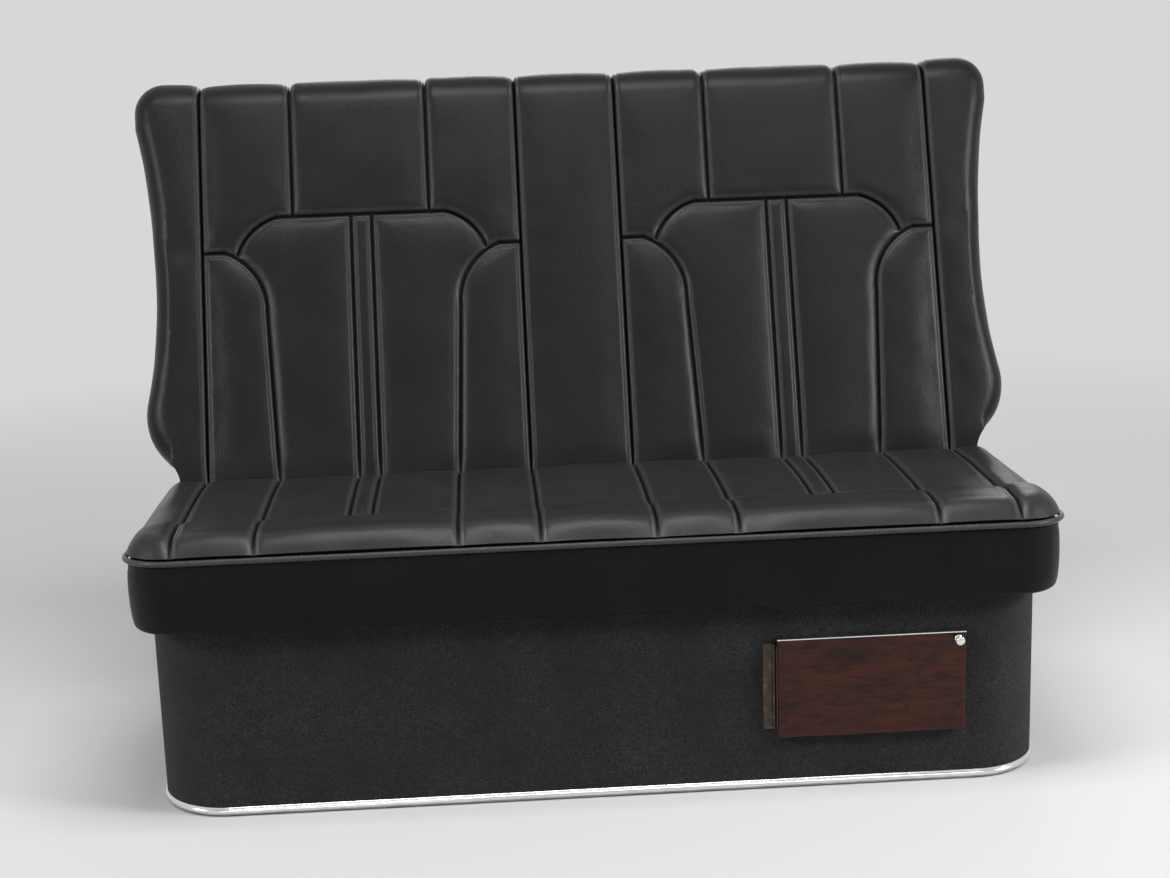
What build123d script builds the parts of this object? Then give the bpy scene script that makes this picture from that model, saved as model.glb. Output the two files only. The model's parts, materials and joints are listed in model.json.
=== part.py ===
from build123d import *

import os
from math import atan2, cos, radians, sin, tan

# Rear bench seat of a stretch limousine, with a storage locker in its plinth.
# Millimetres. +X is to the right of a person who faces the seat, +Y to the
# back of the seat and +Z up. The origin is on the floor, midway between the
# four floor bolts.

# Driving sizes of the whole seat
BACK_WIDTH = 1420.0
BACK_RECLINE_DEG = 21.33
BACK_LENGTH = 682.0
SEAT_DEPTH = 453.0
JUNCTION_Z = 384.0
DECK_TOP_Z = 312.0
WELT_Z = 405.0
WELT_FALL = 33.0

# Plan of the seat and of the plinth under it
SEAT_SIDE_INSET = 38.0
SEAT_CORNER_R = 65.0
TOE_RECESS = 40.0
SIDE_RECESS = 20.0
PLINTH_CORNER_R = 100.0

# Board and skin thicknesses, and the gaps at soft parts
PLY = 15.0
LOCKER_PLY = 9.0
CUSHION_BOARD_T = 9.0
CARPET_T = 4.0
CARPET_LIFT = 1.0
FASCIA_T = 15.0
PAD_T = 95.0
SOFT_GAP = 0.3
SEAM_GAP = 0.6

# Sewing pattern of one seat place: U is the distance from its centre line,
# on both sides alike, and S the distance up the back from the cushion
BOLSTER_WIDTH = 105.0
CENTRE_STRIP_HALF = 83.0
HEAD_SEAM_U = 112.0
CHANNEL_U = 17.0
PANEL_FOOT_U = 145.0
PANEL_KNEE = (158.0, 290.0)
WING_MID = (176.0, 352.0)
WING_TOP = (225.0, 390.0)
SHOULDER_FOOT = (203.0, 386.0)
SHOULDER_MID = (181.0, 422.0)
SHOULDER_TOP = (138.0, 447.0)
SEAM_WIDTH = 5.0
PANEL_RISE = 6.0

# Edges of the backrest and its bolsters: inset from the widest, and S
BACK_TOP_ROLL_R = 40.0
BACK_CORNER_R = 45.0
BOLSTER_FOOT = (60.0, 36.0)
BOLSTER_BULGE = (11.0, 149.0)
BOLSTER_WAIST = (28.0, 350.0)
BOLSTER_SHOULDER_DROP = 70.0
BOLSTER_LEAN = 0.2
BOLSTER_EDGE_BEVEL = 11.0
PAD_FOOT_REACH = 120.0
BOARD_INSET = 6.0
TURNOVER_WIDTH = 30.0
TURNOVER_T = 1.5

# Cushion section: distance forward of the junction, and height
ROLL_SEAM = (310.0, 417.0)
ROLL_CREST = (395.0, 436.0)
SEAT_CROWN = (150.0, 413.0)
CUSHION_LIP_INSET = 1.0
WELT_R = 4.0
WELT_PROUD = 1.0
WELT_SIDES = 8
FASCIA_END = 45.0
FASCIA_DROP = 19.0

# Deck and plinth details
RIB_CLEARANCE = 28.0
BREATHER_R = 12.0
BREATHER_PITCH_X = 260.0
BREATHER_ROWS_Y = (-110.0, 0.0)
BREATHER_COLUMNS = 4
BEAD_Z = 8.0
BEAD_R = 4.0

# Floor and wall fixings
BOLT_END_MARGIN = 72.0
BOLT_SPACING_Y = 420.0
BOLT_HOLE_R = 5.5
BRACKET_T = 3.0
BRACKET_WIDTH = 60.0
BRACKET_HEIGHT = 60.0
BRACKET_END = 18.0
STRAP_INSET = 170.0
STRAP_WIDTH = 40.0
STRAP_T = 4.0
STRAP_DOWN = 110.0
STRAP_UP = 260.0
HANGER_INSET = 260.0
HANGER_WIDTH = 50.0
HANGER_T = 4.0
HANGER_TOP_DROP = 57.0
HANGER_LEG = 65.0
HANGER_DROP = 90.0
HANGER_REACH = 14.0
HANGER_HOLE_R = 4.5
HANGER_HOLE_SPACING = 40.0

# Storage locker and its door
DOOR_WIDTH = 277.0
DOOR_HEIGHT = 152.0
DOOR_FOOT_Z = 85.0
DOOR_CORNER_MARGIN = 22.0
DOOR_T = 16.0
DOOR_GAP = 0.5
DOOR_OVERLAP = 12.0
DOOR_EDGE_R = 3.0
EDGE_TRIM_T = 1.5
LOCKER_DEPTH = 200.0
KNOB_INSET = 11.0
KNOB_R = 7.0
KNOB_NECK_R = 3.5
KNOB_LENGTH = 14.0
KNOB_HEAD = 6.0
KNOB_EDGE_BEVEL = 1.5
CATCH_WIDTH = 16.0
CATCH_DEPTH = 12.0
CATCH_HEIGHT = 18.0
CATCH_PLATE_T = 1.5
CATCH_PLATE_MARGIN = 1.0

# Piano hinge of the door
HINGE_END_MARGIN = 10.0
HINGE_KNUCKLES = 5
HINGE_KNUCKLE_R = 3.0
HINGE_PIN_R = 1.5
HINGE_PIN_PLAY = 0.05
HINGE_LEAF_T = 1.2
HINGE_LEAF_WIDTH = 16.0
HINGE_KNUCKLE_GAP = 0.4

# Places worked out from the sizes above
RECLINE = radians(BACK_RECLINE_DEG)
SIN_R = sin(RECLINE)
COS_R = cos(RECLINE)
BACK_STACK = PAD_T + SOFT_GAP + PLY
DECK_FOOT = (JUNCTION_Z - DECK_TOP_Z) * tan(RECLINE)
PLINTH_DEPTH = SEAT_DEPTH - TOE_RECESS - DECK_FOOT + BACK_STACK / COS_R
PLINTH_FRONT_Y = -PLINTH_DEPTH / 2
PLINTH_REAR_Y = PLINTH_DEPTH / 2
SEAT_FRONT_Y = PLINTH_FRONT_Y - TOE_RECESS
JUNCTION_Y = SEAT_FRONT_Y + SEAT_DEPTH
PLINTH_TOP_Z = DECK_TOP_Z - PLY
BACK_HALF = BACK_WIDTH / 2
SEAT_HALF = BACK_HALF - SEAT_SIDE_INSET
PLINTH_HALF = SEAT_HALF - SIDE_RECESS
BACK_PLANE = Plane(
    origin=(0, JUNCTION_Y, JUNCTION_Z),
    x_dir=(1, 0, 0),
    z_dir=(0, -COS_R, SIN_R),
)
PLACE_HALF = (BACK_HALF - BOLSTER_WIDTH - CENTRE_STRIP_HALF) / 2
PLACE_CENTRE_X = CENTRE_STRIP_HALF + PLACE_HALF
BOLSTER_SEAM_X = PLACE_CENTRE_X + PLACE_HALF
WELT_TILT = atan2(WELT_FALL, SEAT_DEPTH)
WELT_RISE = WELT_R / cos(WELT_TILT)
SIDE_END_Y = JUNCTION_Y - FASCIA_END
FLAT_HALF = PLINTH_HALF - PLINTH_CORNER_R
BOLT_SPACING_X = 2 * (FLAT_HALF - BOLT_END_MARGIN)
DOOR_X1 = FLAT_HALF - DOOR_CORNER_MARGIN
DOOR_X0 = DOOR_X1 - DOOR_WIDTH
DOOR_Z0 = DOOR_FOOT_Z
DOOR_Z1 = DOOR_Z0 + DOOR_HEIGHT
FAR = 2000.0

os.makedirs("parts", exist_ok=True)


def save(name, shape):
    export_step(shape, "parts/" + name + ".step")


def block(x0, x1, y0, y1, z0, z1):
    """A box between two corners."""
    centre = ((x0 + x1) / 2, (y0 + y1) / 2, (z0 + z1) / 2)
    return Pos(*centre) * Box(x1 - x0, y1 - y0, z1 - z0)


def on_slope(s, n):
    """(y, z) of the point s up the back's slope and n out towards the sitter."""
    return (JUNCTION_Y + s * SIN_R - n * COS_R, JUNCTION_Z + s * COS_R + n * SIN_R)


def slope_at_height(z, n):
    """(y, z) on the line that is n out of the back's slope, at height z."""
    s = (z - JUNCTION_Z - n * SIN_R) / COS_R
    return on_slope(s, n)


def across(face_yz, width, centre_x=0.0):
    """Extrude a section, drawn in Y and Z, along X."""
    return Pos(centre_x, 0, 0) * extrude(Plane.YZ * face_yz, width / 2, both=True)


def back_slab(face_xs, n0, n1):
    """Extrude an outline, drawn in X and S on the back's slope, from n0 to n1."""
    return extrude(BACK_PLANE.offset(n0) * face_xs, n1 - n0)


def rect_xs(x0, x1, s0, s1):
    """A rectangle between two corners of a flat drawing."""
    return Pos((x0 + x1) / 2, (s0 + s1) / 2) * Rectangle(x1 - x0, s1 - s0)


# Plan outlines

def round_fronted(half, front_y, rear_y, corner_r):
    """A plan with a straight back and two rounded front corners."""
    face = rect_xs(-half, half, front_y, rear_y)
    front = face.vertices().filter_by_position(Axis.Y, front_y - 0.01, front_y + 0.01)
    return fillet(front, corner_r)


def seat_plan(inset, rear_y):
    """Plan of the seat, set in by inset at its front and sides."""
    return round_fronted(SEAT_HALF - inset, SEAT_FRONT_Y + inset, rear_y, SEAT_CORNER_R - inset)


def plinth_plan(grow, rear_y):
    """Plan of the plinth, let out by grow at its front and sides."""
    return round_fronted(PLINTH_HALF + grow, PLINTH_FRONT_Y - grow, rear_y, PLINTH_CORNER_R + grow)


def prism(face_xy, z0, z1):
    """Extrude a plan from z0 to z1."""
    return extrude(Plane.XY.offset(z0) * face_xy, z1 - z0)


# Storage locker: hole in the front panel and the box behind it
HOLE_X0 = DOOR_X0 + DOOR_OVERLAP
HOLE_X1 = DOOR_X1 - DOOR_OVERLAP
HOLE_Z0 = DOOR_Z0 + DOOR_OVERLAP
HOLE_Z1 = DOOR_Z1 - DOOR_OVERLAP
LOCKER_Y0 = PLINTH_FRONT_Y + PLY
LOCKER_Y1 = LOCKER_Y0 + LOCKER_DEPTH


def make_plinth():
    shell = prism(plinth_plan(0, PLINTH_REAR_Y), 0, PLINTH_TOP_Z)
    shell -= prism(plinth_plan(-PLY, PLINTH_REAR_Y + PLY), -1, PLINTH_TOP_Z + 1)
    corner_y = PLINTH_FRONT_Y + PLINTH_CORNER_R
    hole = block(HOLE_X0, HOLE_X1, -FAR, 0, HOLE_Z0, HOLE_Z1)
    front_zone = block(-FLAT_HALF, FLAT_HALF, -FAR, 0, -1, FAR)
    save("plinth_front", (shell & front_zone) - hole)
    back = block(-PLINTH_HALF + PLY, PLINTH_HALF - PLY,
                 PLINTH_REAR_Y - PLY, PLINTH_REAR_Y, 0, PLINTH_TOP_Z)
    save("plinth_back", back)
    # name, side
    for name, side in (("left", -1), ("right", 1)):
        x0, x1 = sorted((side * FLAT_HALF, side * FAR))
        save("plinth_corner_" + name, shell & block(x0, x1, -FAR, corner_y, -1, FAR))
        save("plinth_side_" + name, shell & block(x0, x1, corner_y, FAR, -1, FAR))
        rib_x0 = side * (DOOR_X0 - RIB_CLEARANCE) - LOCKER_PLY / 2
        rib = block(rib_x0, rib_x0 + LOCKER_PLY, PLINTH_FRONT_Y + PLY,
                    PLINTH_REAR_Y - PLY, 0, PLINTH_TOP_Z)
        save("plinth_rib_" + name, rib)

    carpet = prism(plinth_plan(CARPET_T, PLINTH_REAR_Y), CARPET_LIFT, PLINTH_TOP_Z)
    carpet -= prism(plinth_plan(0, PLINTH_REAR_Y + PLY), 0, PLINTH_TOP_Z + 1)
    save("plinth_carpet", carpet - hole)

    # A bead of half-octagon section, swept round the foot of the carpet
    half = PLINTH_HALF + CARPET_T
    front_y = PLINTH_FRONT_Y - CARPET_T
    path = Pos(0, 0, BEAD_Z) * FilletPolyline(
        (-half, PLINTH_REAR_Y), (-half, front_y), (half, front_y), (half, PLINTH_REAR_Y),
        radius=PLINTH_CORNER_R + CARPET_T,
    )
    slant = BEAD_R * cos(radians(45))
    half_octagon = make_face(Polyline(
        (0, -BEAD_R), (slant, -slant), (BEAD_R, 0), (slant, slant), (0, BEAD_R), close=True,
    ))
    start = Plane(origin=(-half, PLINTH_REAR_Y, BEAD_Z), x_dir=(-1, 0, 0), z_dir=(0, -1, 0))
    save("base_bead", sweep(start * half_octagon, path=path))


def make_locker():
    x0, x1 = HOLE_X0 - LOCKER_PLY, HOLE_X1 + LOCKER_PLY
    z0, z1 = HOLE_Z0 - LOCKER_PLY, HOLE_Z1 + LOCKER_PLY
    save("locker_floor", block(x0, x1, LOCKER_Y0, LOCKER_Y1, z0, HOLE_Z0))
    save("locker_top", block(x0, x1, LOCKER_Y0, LOCKER_Y1, HOLE_Z1, z1))
    save("locker_left", block(x0, HOLE_X0, LOCKER_Y0, LOCKER_Y1, HOLE_Z0, HOLE_Z1))
    save("locker_right", block(HOLE_X1, x1, LOCKER_Y0, LOCKER_Y1, HOLE_Z0, HOLE_Z1))
    save("locker_back", block(x0, x1, LOCKER_Y1, LOCKER_Y1 + LOCKER_PLY, z0, z1))


DOOR_BACK_Y = PLINTH_FRONT_Y - CARPET_T - DOOR_GAP
DOOR_FRONT_Y = DOOR_BACK_Y - DOOR_T
HINGE_X = DOOR_X0 - HINGE_KNUCKLE_R
HINGE_Y = PLINTH_FRONT_Y - CARPET_T - HINGE_KNUCKLE_R
HINGE_Z0 = DOOR_Z0 + HINGE_END_MARGIN
HINGE_LENGTH = DOOR_HEIGHT - 2 * HINGE_END_MARGIN


def make_door():
    panel = block(DOOR_X0, DOOR_X1, DOOR_FRONT_Y, DOOR_BACK_Y, DOOR_Z0, DOOR_Z1 - EDGE_TRIM_T)
    face_edges = panel.faces().sort_by(Axis.Y)[0].edges()
    panel = fillet(face_edges.sort_by(Axis.Z)[:-1], DOOR_EDGE_R)
    save("door_panel", panel)
    trim = block(DOOR_X0, DOOR_X1, DOOR_FRONT_Y, DOOR_BACK_Y, DOOR_Z1 - EDGE_TRIM_T, DOOR_Z1)
    save("door_edge_trim", trim)

    # Turned knob, drawn as radius and distance out from the door
    head = KNOB_LENGTH - KNOB_HEAD
    half = make_face(Polyline(
        (0, 0), (KNOB_NECK_R, 0), (KNOB_NECK_R, head), (KNOB_R, head),
        (KNOB_R, KNOB_LENGTH), (0, KNOB_LENGTH), close=True,
    ))
    rim = half.vertices().filter_by_position(Axis.X, KNOB_R - 0.01, KNOB_R + 0.01)
    knob = Rot(180, 0, 0) * revolve(chamfer(rim, KNOB_EDGE_BEVEL), Axis.Y)
    place = Pos(DOOR_X1 - KNOB_INSET, DOOR_FRONT_Y, DOOR_Z1 - KNOB_INSET)
    save("door_knob", place * knob)

    # Magnetic catch in the locker's top right corner and its plate on the door
    plate = block(HOLE_X1 - CATCH_WIDTH, HOLE_X1 - CATCH_PLATE_MARGIN,
                  DOOR_BACK_Y, DOOR_BACK_Y + CATCH_PLATE_T,
                  HOLE_Z1 - CATCH_HEIGHT, HOLE_Z1 - CATCH_PLATE_MARGIN)
    save("catch_plate", plate)
    catch_y = DOOR_BACK_Y + CATCH_PLATE_T + DOOR_GAP
    magnet = block(HOLE_X1 - CATCH_WIDTH, HOLE_X1, catch_y, LOCKER_Y0 + CATCH_DEPTH,
                   HOLE_Z1 - CATCH_HEIGHT, HOLE_Z1)
    save("catch_magnet", magnet)


def make_hinge():
    pitch = HINGE_LENGTH / HINGE_KNUCKLES
    fixed = block(HINGE_X - HINGE_LEAF_WIDTH, HINGE_X,
                  HINGE_Y + HINGE_KNUCKLE_R - HINGE_LEAF_T, HINGE_Y + HINGE_KNUCKLE_R,
                  HINGE_Z0, HINGE_Z0 + HINGE_LENGTH)
    moving = block(DOOR_X0 - HINGE_LEAF_T, DOOR_X0, DOOR_FRONT_Y, HINGE_Y,
                   HINGE_Z0, HINGE_Z0 + HINGE_LENGTH)
    clear = HINGE_KNUCKLE_R + HINGE_KNUCKLE_GAP
    for i in range(HINGE_KNUCKLES):
        z0 = HINGE_Z0 + i * pitch
        z1 = z0 + pitch
        barrel = Pos(HINGE_X, HINGE_Y, (z0 + z1) / 2) * Cylinder(
            HINGE_KNUCKLE_R, pitch - HINGE_KNUCKLE_GAP)
        room = block(HINGE_X - clear, HINGE_X + clear, HINGE_Y - clear, HINGE_Y + clear,
                     z0 - HINGE_KNUCKLE_GAP / 2, z1 + HINGE_KNUCKLE_GAP / 2)
        if i % 2 == 0:
            fixed += barrel
            moving -= room
        else:
            moving += barrel
            fixed -= room
    bore = Pos(HINGE_X, HINGE_Y, HINGE_Z0 + HINGE_LENGTH / 2) * Cylinder(
        HINGE_PIN_R + HINGE_PIN_PLAY, HINGE_LENGTH + 2)
    save("hinge_leaf_fixed", fixed - bore)
    save("hinge_leaf_door", moving - bore)
    pin = Pos(HINGE_X, HINGE_Y, HINGE_Z0 + HINGE_LENGTH / 2) * Cylinder(HINGE_PIN_R, HINGE_LENGTH)
    save("hinge_pin", pin)


def make_deck():
    deck = prism(seat_plan(FASCIA_T, PLINTH_REAR_Y), PLINTH_TOP_Z, DECK_TOP_Z)
    first_x = -BREATHER_PITCH_X * (BREATHER_COLUMNS - 1) / 2
    for row_y in BREATHER_ROWS_Y:
        for i in range(BREATHER_COLUMNS):
            hole_x = first_x + i * BREATHER_PITCH_X
            deck -= Pos(hole_x, row_y, DECK_TOP_Z) * Cylinder(BREATHER_R, 4 * PLY)
    save("seat_deck", deck)


def make_brackets():
    # name, side along X, end along Y
    table = (
        ("front_left", -1, -1),
        ("front_right", 1, -1),
        ("rear_left", -1, 1),
        ("rear_right", 1, 1),
    )
    wall = PLINTH_DEPTH / 2 - PLY
    for name, side, end in table:
        x = side * BOLT_SPACING_X / 2
        hole_y = end * BOLT_SPACING_Y / 2
        y0, y1 = sorted((end * wall, hole_y - end * BRACKET_END))
        foot = block(x - BRACKET_WIDTH / 2, x + BRACKET_WIDTH / 2, y0, y1, 0, BRACKET_T)
        y0, y1 = sorted((end * wall, end * (wall - BRACKET_T)))
        leg = block(x - BRACKET_WIDTH / 2, x + BRACKET_WIDTH / 2, y0, y1, 0, BRACKET_HEIGHT)
        bracket = foot + leg
        bracket -= Pos(x, hole_y, 0) * Cylinder(BOLT_HOLE_R, 4 * BRACKET_T)
        save("floor_bracket_" + name, bracket)


# Seat cushion, its board, welt and fascia

def cushion_point(forward, z):
    """(y, z) of a point of the cushion's section."""
    return (JUNCTION_Y - forward, z)


def cushion_section():
    """Cushion section: flat below, crowned on top, with a front roll over the welt."""
    board_top = DECK_TOP_Z + CUSHION_BOARD_T + SOFT_GAP
    lip_z = WELT_Z
    back_n = PANEL_RISE + SOFT_GAP
    back_foot = slope_at_height(board_top, back_n)
    back_top = slope_at_height(JUNCTION_Z, back_n)
    front_in = SEAT_FRONT_Y + FASCIA_T + SOFT_GAP
    lip_front = SEAT_FRONT_Y + CUSHION_LIP_INSET
    seam = cushion_point(*ROLL_SEAM)
    edges = [
        Line((front_in, board_top), back_foot),
        Line(back_foot, back_top),
        ThreePointArc(back_top, cushion_point(*SEAT_CROWN), seam),
        ThreePointArc(seam, cushion_point(*ROLL_CREST), (lip_front, lip_z)),
        Line((lip_front, lip_z), (front_in, lip_z)),
        Line((front_in, lip_z), (front_in, board_top)),
    ]
    return make_face(edges)


def below_welt_line(drop):
    """Everything under the plane of the welt, which falls to the back, less drop."""
    rear_y = SEAT_FRONT_Y + 2 * SEAT_DEPTH
    corners = Polyline(
        (SEAT_FRONT_Y - PLY, -FAR), (rear_y, -FAR), (rear_y, WELT_Z - 2 * WELT_FALL - drop),
        (SEAT_FRONT_Y, WELT_Z - drop), (SEAT_FRONT_Y - PLY, WELT_Z - drop), close=True,
    )
    return across(make_face(corners), 2 * FAR)


def make_cushion():
    board_rear_y = slope_at_height(DECK_TOP_Z, PANEL_RISE + SOFT_GAP)[0]
    board = prism(seat_plan(FASCIA_T, board_rear_y), DECK_TOP_Z, DECK_TOP_Z + CUSHION_BOARD_T)
    save("cushion_board", board)

    section = cushion_section()
    inner = prism(seat_plan(FASCIA_T + SOFT_GAP, PLINTH_REAR_Y), 0, FAR)
    outer = prism(seat_plan(CUSHION_LIP_INSET, PLINTH_REAR_Y), 0, FAR) - below_welt_line(0)
    cushion = across(section, BACK_WIDTH) & (inner + outer)

    # Seams from front to back, and the channels behind the front roll's seam
    skin = section - Pos(0, -PANEL_RISE) * section
    roll_y = cushion_point(*ROLL_SEAM)[0]
    # distance from the place's centre, front end of the seam
    seams = (
        (PLACE_HALF, SEAT_FRONT_Y),
        (PANEL_FOOT_U, SEAT_FRONT_Y),
        (CHANNEL_U, roll_y),
    )
    for u, front_y in seams:
        for x in (PLACE_CENTRE_X - u, PLACE_CENTRE_X + u):
            for side in (-1, 1):
                zone = block(-FAR, FAR, front_y - PLY, FAR, JUNCTION_Z - PANEL_RISE, FAR)
                cushion -= across(skin, SEAM_WIDTH, side * x) & zone
    for side in (-1, 1):
        x = side * PLACE_CENTRE_X
        cushion -= block(x - PANEL_FOOT_U, x + PANEL_FOOT_U,
                         roll_y - SEAM_WIDTH / 2, roll_y + SEAM_WIDTH / 2,
                         ROLL_SEAM[1] - PANEL_RISE, FAR)
    save("seat_cushion", cushion)

    fascia = prism(seat_plan(0, PLINTH_REAR_Y), DECK_TOP_Z - FASCIA_DROP, FAR)
    fascia &= below_welt_line(2 * WELT_RISE + 2 * SOFT_GAP)
    fascia -= prism(seat_plan(FASCIA_T, PLINTH_REAR_Y + PLY), 0, FAR)
    fascia &= block(-FAR, FAR, -FAR, SIDE_END_Y, 0, FAR)
    save("seat_fascia", fascia)

    # The welt, swept round the seat between the fascia and the cushion's lip
    inset = WELT_R - WELT_PROUD
    half = SEAT_HALF - inset
    tilt_plane = Plane(
        origin=(0, SEAT_FRONT_Y, WELT_Z - SOFT_GAP - WELT_RISE),
        x_dir=(1, 0, 0),
        z_dir=(0, sin(WELT_TILT), cos(WELT_TILT)),
    )
    reach = (SIDE_END_Y - SEAT_FRONT_Y) / cos(WELT_TILT)
    path = tilt_plane * FilletPolyline(
        (-half, reach), (-half, inset), (half, inset), (half, reach),
        radius=SEAT_CORNER_R - inset,
    )
    start = Plane(origin=path @ 0, z_dir=path % 0)
    save("cushion_welt", sweep(start * RegularPolygon(WELT_R, WELT_SIDES), path=path))


# Backrest

def edge_outline(inset, reach):
    """Right end of the backrest's outline, reach wide, in X from its widest point and S."""
    edge = -inset
    inner = -reach
    foot_s = -PAD_FOOT_REACH
    top_s = BACK_LENGTH - inset
    corner = BACK_CORNER_R - inset
    high = (edge, BACK_LENGTH - BOLSTER_SHOULDER_DROP)
    waist = (edge - BOLSTER_WAIST[0], BOLSTER_WAIST[1])
    bulge = (edge - BOLSTER_BULGE[0], BOLSTER_BULGE[1])
    foot = (edge - BOLSTER_FOOT[0], BOLSTER_FOOT[1])
    bevel = corner * (1 - cos(radians(45)))
    upper = TangentArc(high, waist, tangent=(-BOLSTER_LEAN, -1))
    middle = TangentArc(waist, bulge, tangent=upper % 1)
    lower = TangentArc(bulge, foot, tangent=middle % 1)
    return make_face([
        Line((inner, top_s), (edge - corner, top_s)),
        ThreePointArc((edge - corner, top_s), (edge - bevel, top_s - bevel), (edge, top_s - corner)),
        Line((edge, top_s - corner), high),
        upper,
        middle,
        lower,
        Line(foot, (foot[0], foot_s)),
        Line((foot[0], foot_s), (inner, foot_s)),
        Line((inner, foot_s), (inner, top_s)),
    ])


def back_outline(inset):
    """Whole outline of the backrest in X and S, both sides of the centre line."""
    half = Pos(BACK_HALF, 0) * edge_outline(inset, BACK_HALF)
    return half + mirror(half, Plane.YZ)


def pad_section():
    """Section of the back pads in Y and Z, with the roll at their top."""
    foot_z = DECK_TOP_Z + SOFT_GAP
    corners = Polyline(
        slope_at_height(foot_z, PANEL_RISE), slope_at_height(foot_z, -PAD_T),
        on_slope(BACK_LENGTH, -PAD_T), on_slope(BACK_LENGTH, PANEL_RISE), close=True,
    )
    face = make_face(corners)
    return fillet(face.vertices().sort_by(Axis.Z)[-1], BACK_TOP_ROLL_R)


def place_seams():
    """Seams of the right place's lower panel and wings, in U about its centre and S."""
    foot_s = -PAD_FOOT_REACH
    lines = []
    for side in (-1, 1):
        def at(point, way=side):
            return (way * point[0], point[1])
        foot = at((PANEL_FOOT_U, 0))
        knee = at(PANEL_KNEE)
        lines.append(Line(at((PANEL_FOOT_U, foot_s)), foot))
        lines.append(Line(foot, knee))
        lines.append(ThreePointArc(knee, at(WING_MID), at(WING_TOP)))
        lines.append(Line(at(WING_TOP), at((PLACE_HALF, WING_TOP[1]))))
        lines.append(ThreePointArc(at(SHOULDER_FOOT), at(SHOULDER_MID), at(SHOULDER_TOP)))
        lines.append(Line(at((CHANNEL_U, foot_s)), at((CHANNEL_U, SHOULDER_TOP[1]))))
    lines.append(Line((-SHOULDER_TOP[0], SHOULDER_TOP[1]), SHOULDER_TOP))
    return lines


def make_back():
    board = back_slab(back_outline(BOARD_INSET), -BACK_STACK, -PAD_T - SOFT_GAP)
    board &= block(-FAR, FAR, -FAR, FAR, DECK_TOP_Z, FAR)
    save("back_board", board)

    section = pad_section()
    pad_stock = across(section, BACK_WIDTH)
    skin = section - offset(section, -PANEL_RISE)
    # name, x0, x1 of the pads between the bolsters
    pads = (
        ("back_pad_left", -BOLSTER_SEAM_X, -CENTRE_STRIP_HALF),
        ("back_pad_centre", -CENTRE_STRIP_HALF, CENTRE_STRIP_HALF),
        ("back_pad_right", CENTRE_STRIP_HALF, BOLSTER_SEAM_X),
    )
    for name, x0, x1 in pads:
        pad = pad_stock & block(x0 + SEAM_GAP / 2, x1 - SEAM_GAP / 2, -FAR, FAR, 0, FAR)
        centre_x = (x0 + x1) / 2
        if name != "back_pad_centre":
            for line in place_seams():
                groove = Pos(centre_x, 0) * trace(line, SEAM_WIDTH)
                pad -= back_slab(groove, 0, PANEL_RISE * 2)
            above = back_slab(rect_xs(-FAR, FAR, SHOULDER_TOP[1], FAR), -PAD_T / 2, FAR)
            for u in (-HEAD_SEAM_U, HEAD_SEAM_U):
                pad -= across(skin, SEAM_WIDTH, centre_x + u) & above
        save(name, pad)

    # Bolsters, with their outer front edge bevelled before the top roll is cut
    slab = extrude(edge_outline(0, BOLSTER_WIDTH - SEAM_GAP / 2), PAD_T + PANEL_RISE)
    bevel_edges = [
        edge for edge in slab.faces().sort_by(Axis.Z)[-1].edges()
        if edge.center().X > -BOLSTER_FOOT[0] and edge.center().Y > BOLSTER_FOOT[1]
    ]
    slab = BACK_PLANE.offset(-PAD_T) * (Pos(BACK_HALF, 0, 0) * chamfer(bevel_edges, BOLSTER_EDGE_BEVEL))
    bolster = pad_stock & slab
    save("bolster_right", bolster)
    save("bolster_left", mirror(bolster, Plane.YZ))

    # Leather turned over the rim of the board and on to its back
    board_outline = back_outline(BOARD_INSET)
    wrap = back_slab(back_outline(BOARD_INSET - TURNOVER_T), -BACK_STACK - TURNOVER_T, -PAD_T - SOFT_GAP)
    wrap -= back_slab(board_outline, -BACK_STACK, 0)
    wrap -= back_slab(offset(board_outline, -TURNOVER_WIDTH), -FAR, 0)
    above_foot = back_slab(rect_xs(-FAR, FAR, BOLSTER_FOOT[1], FAR), -FAR, FAR)
    save("back_turnover", wrap & above_foot)


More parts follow.
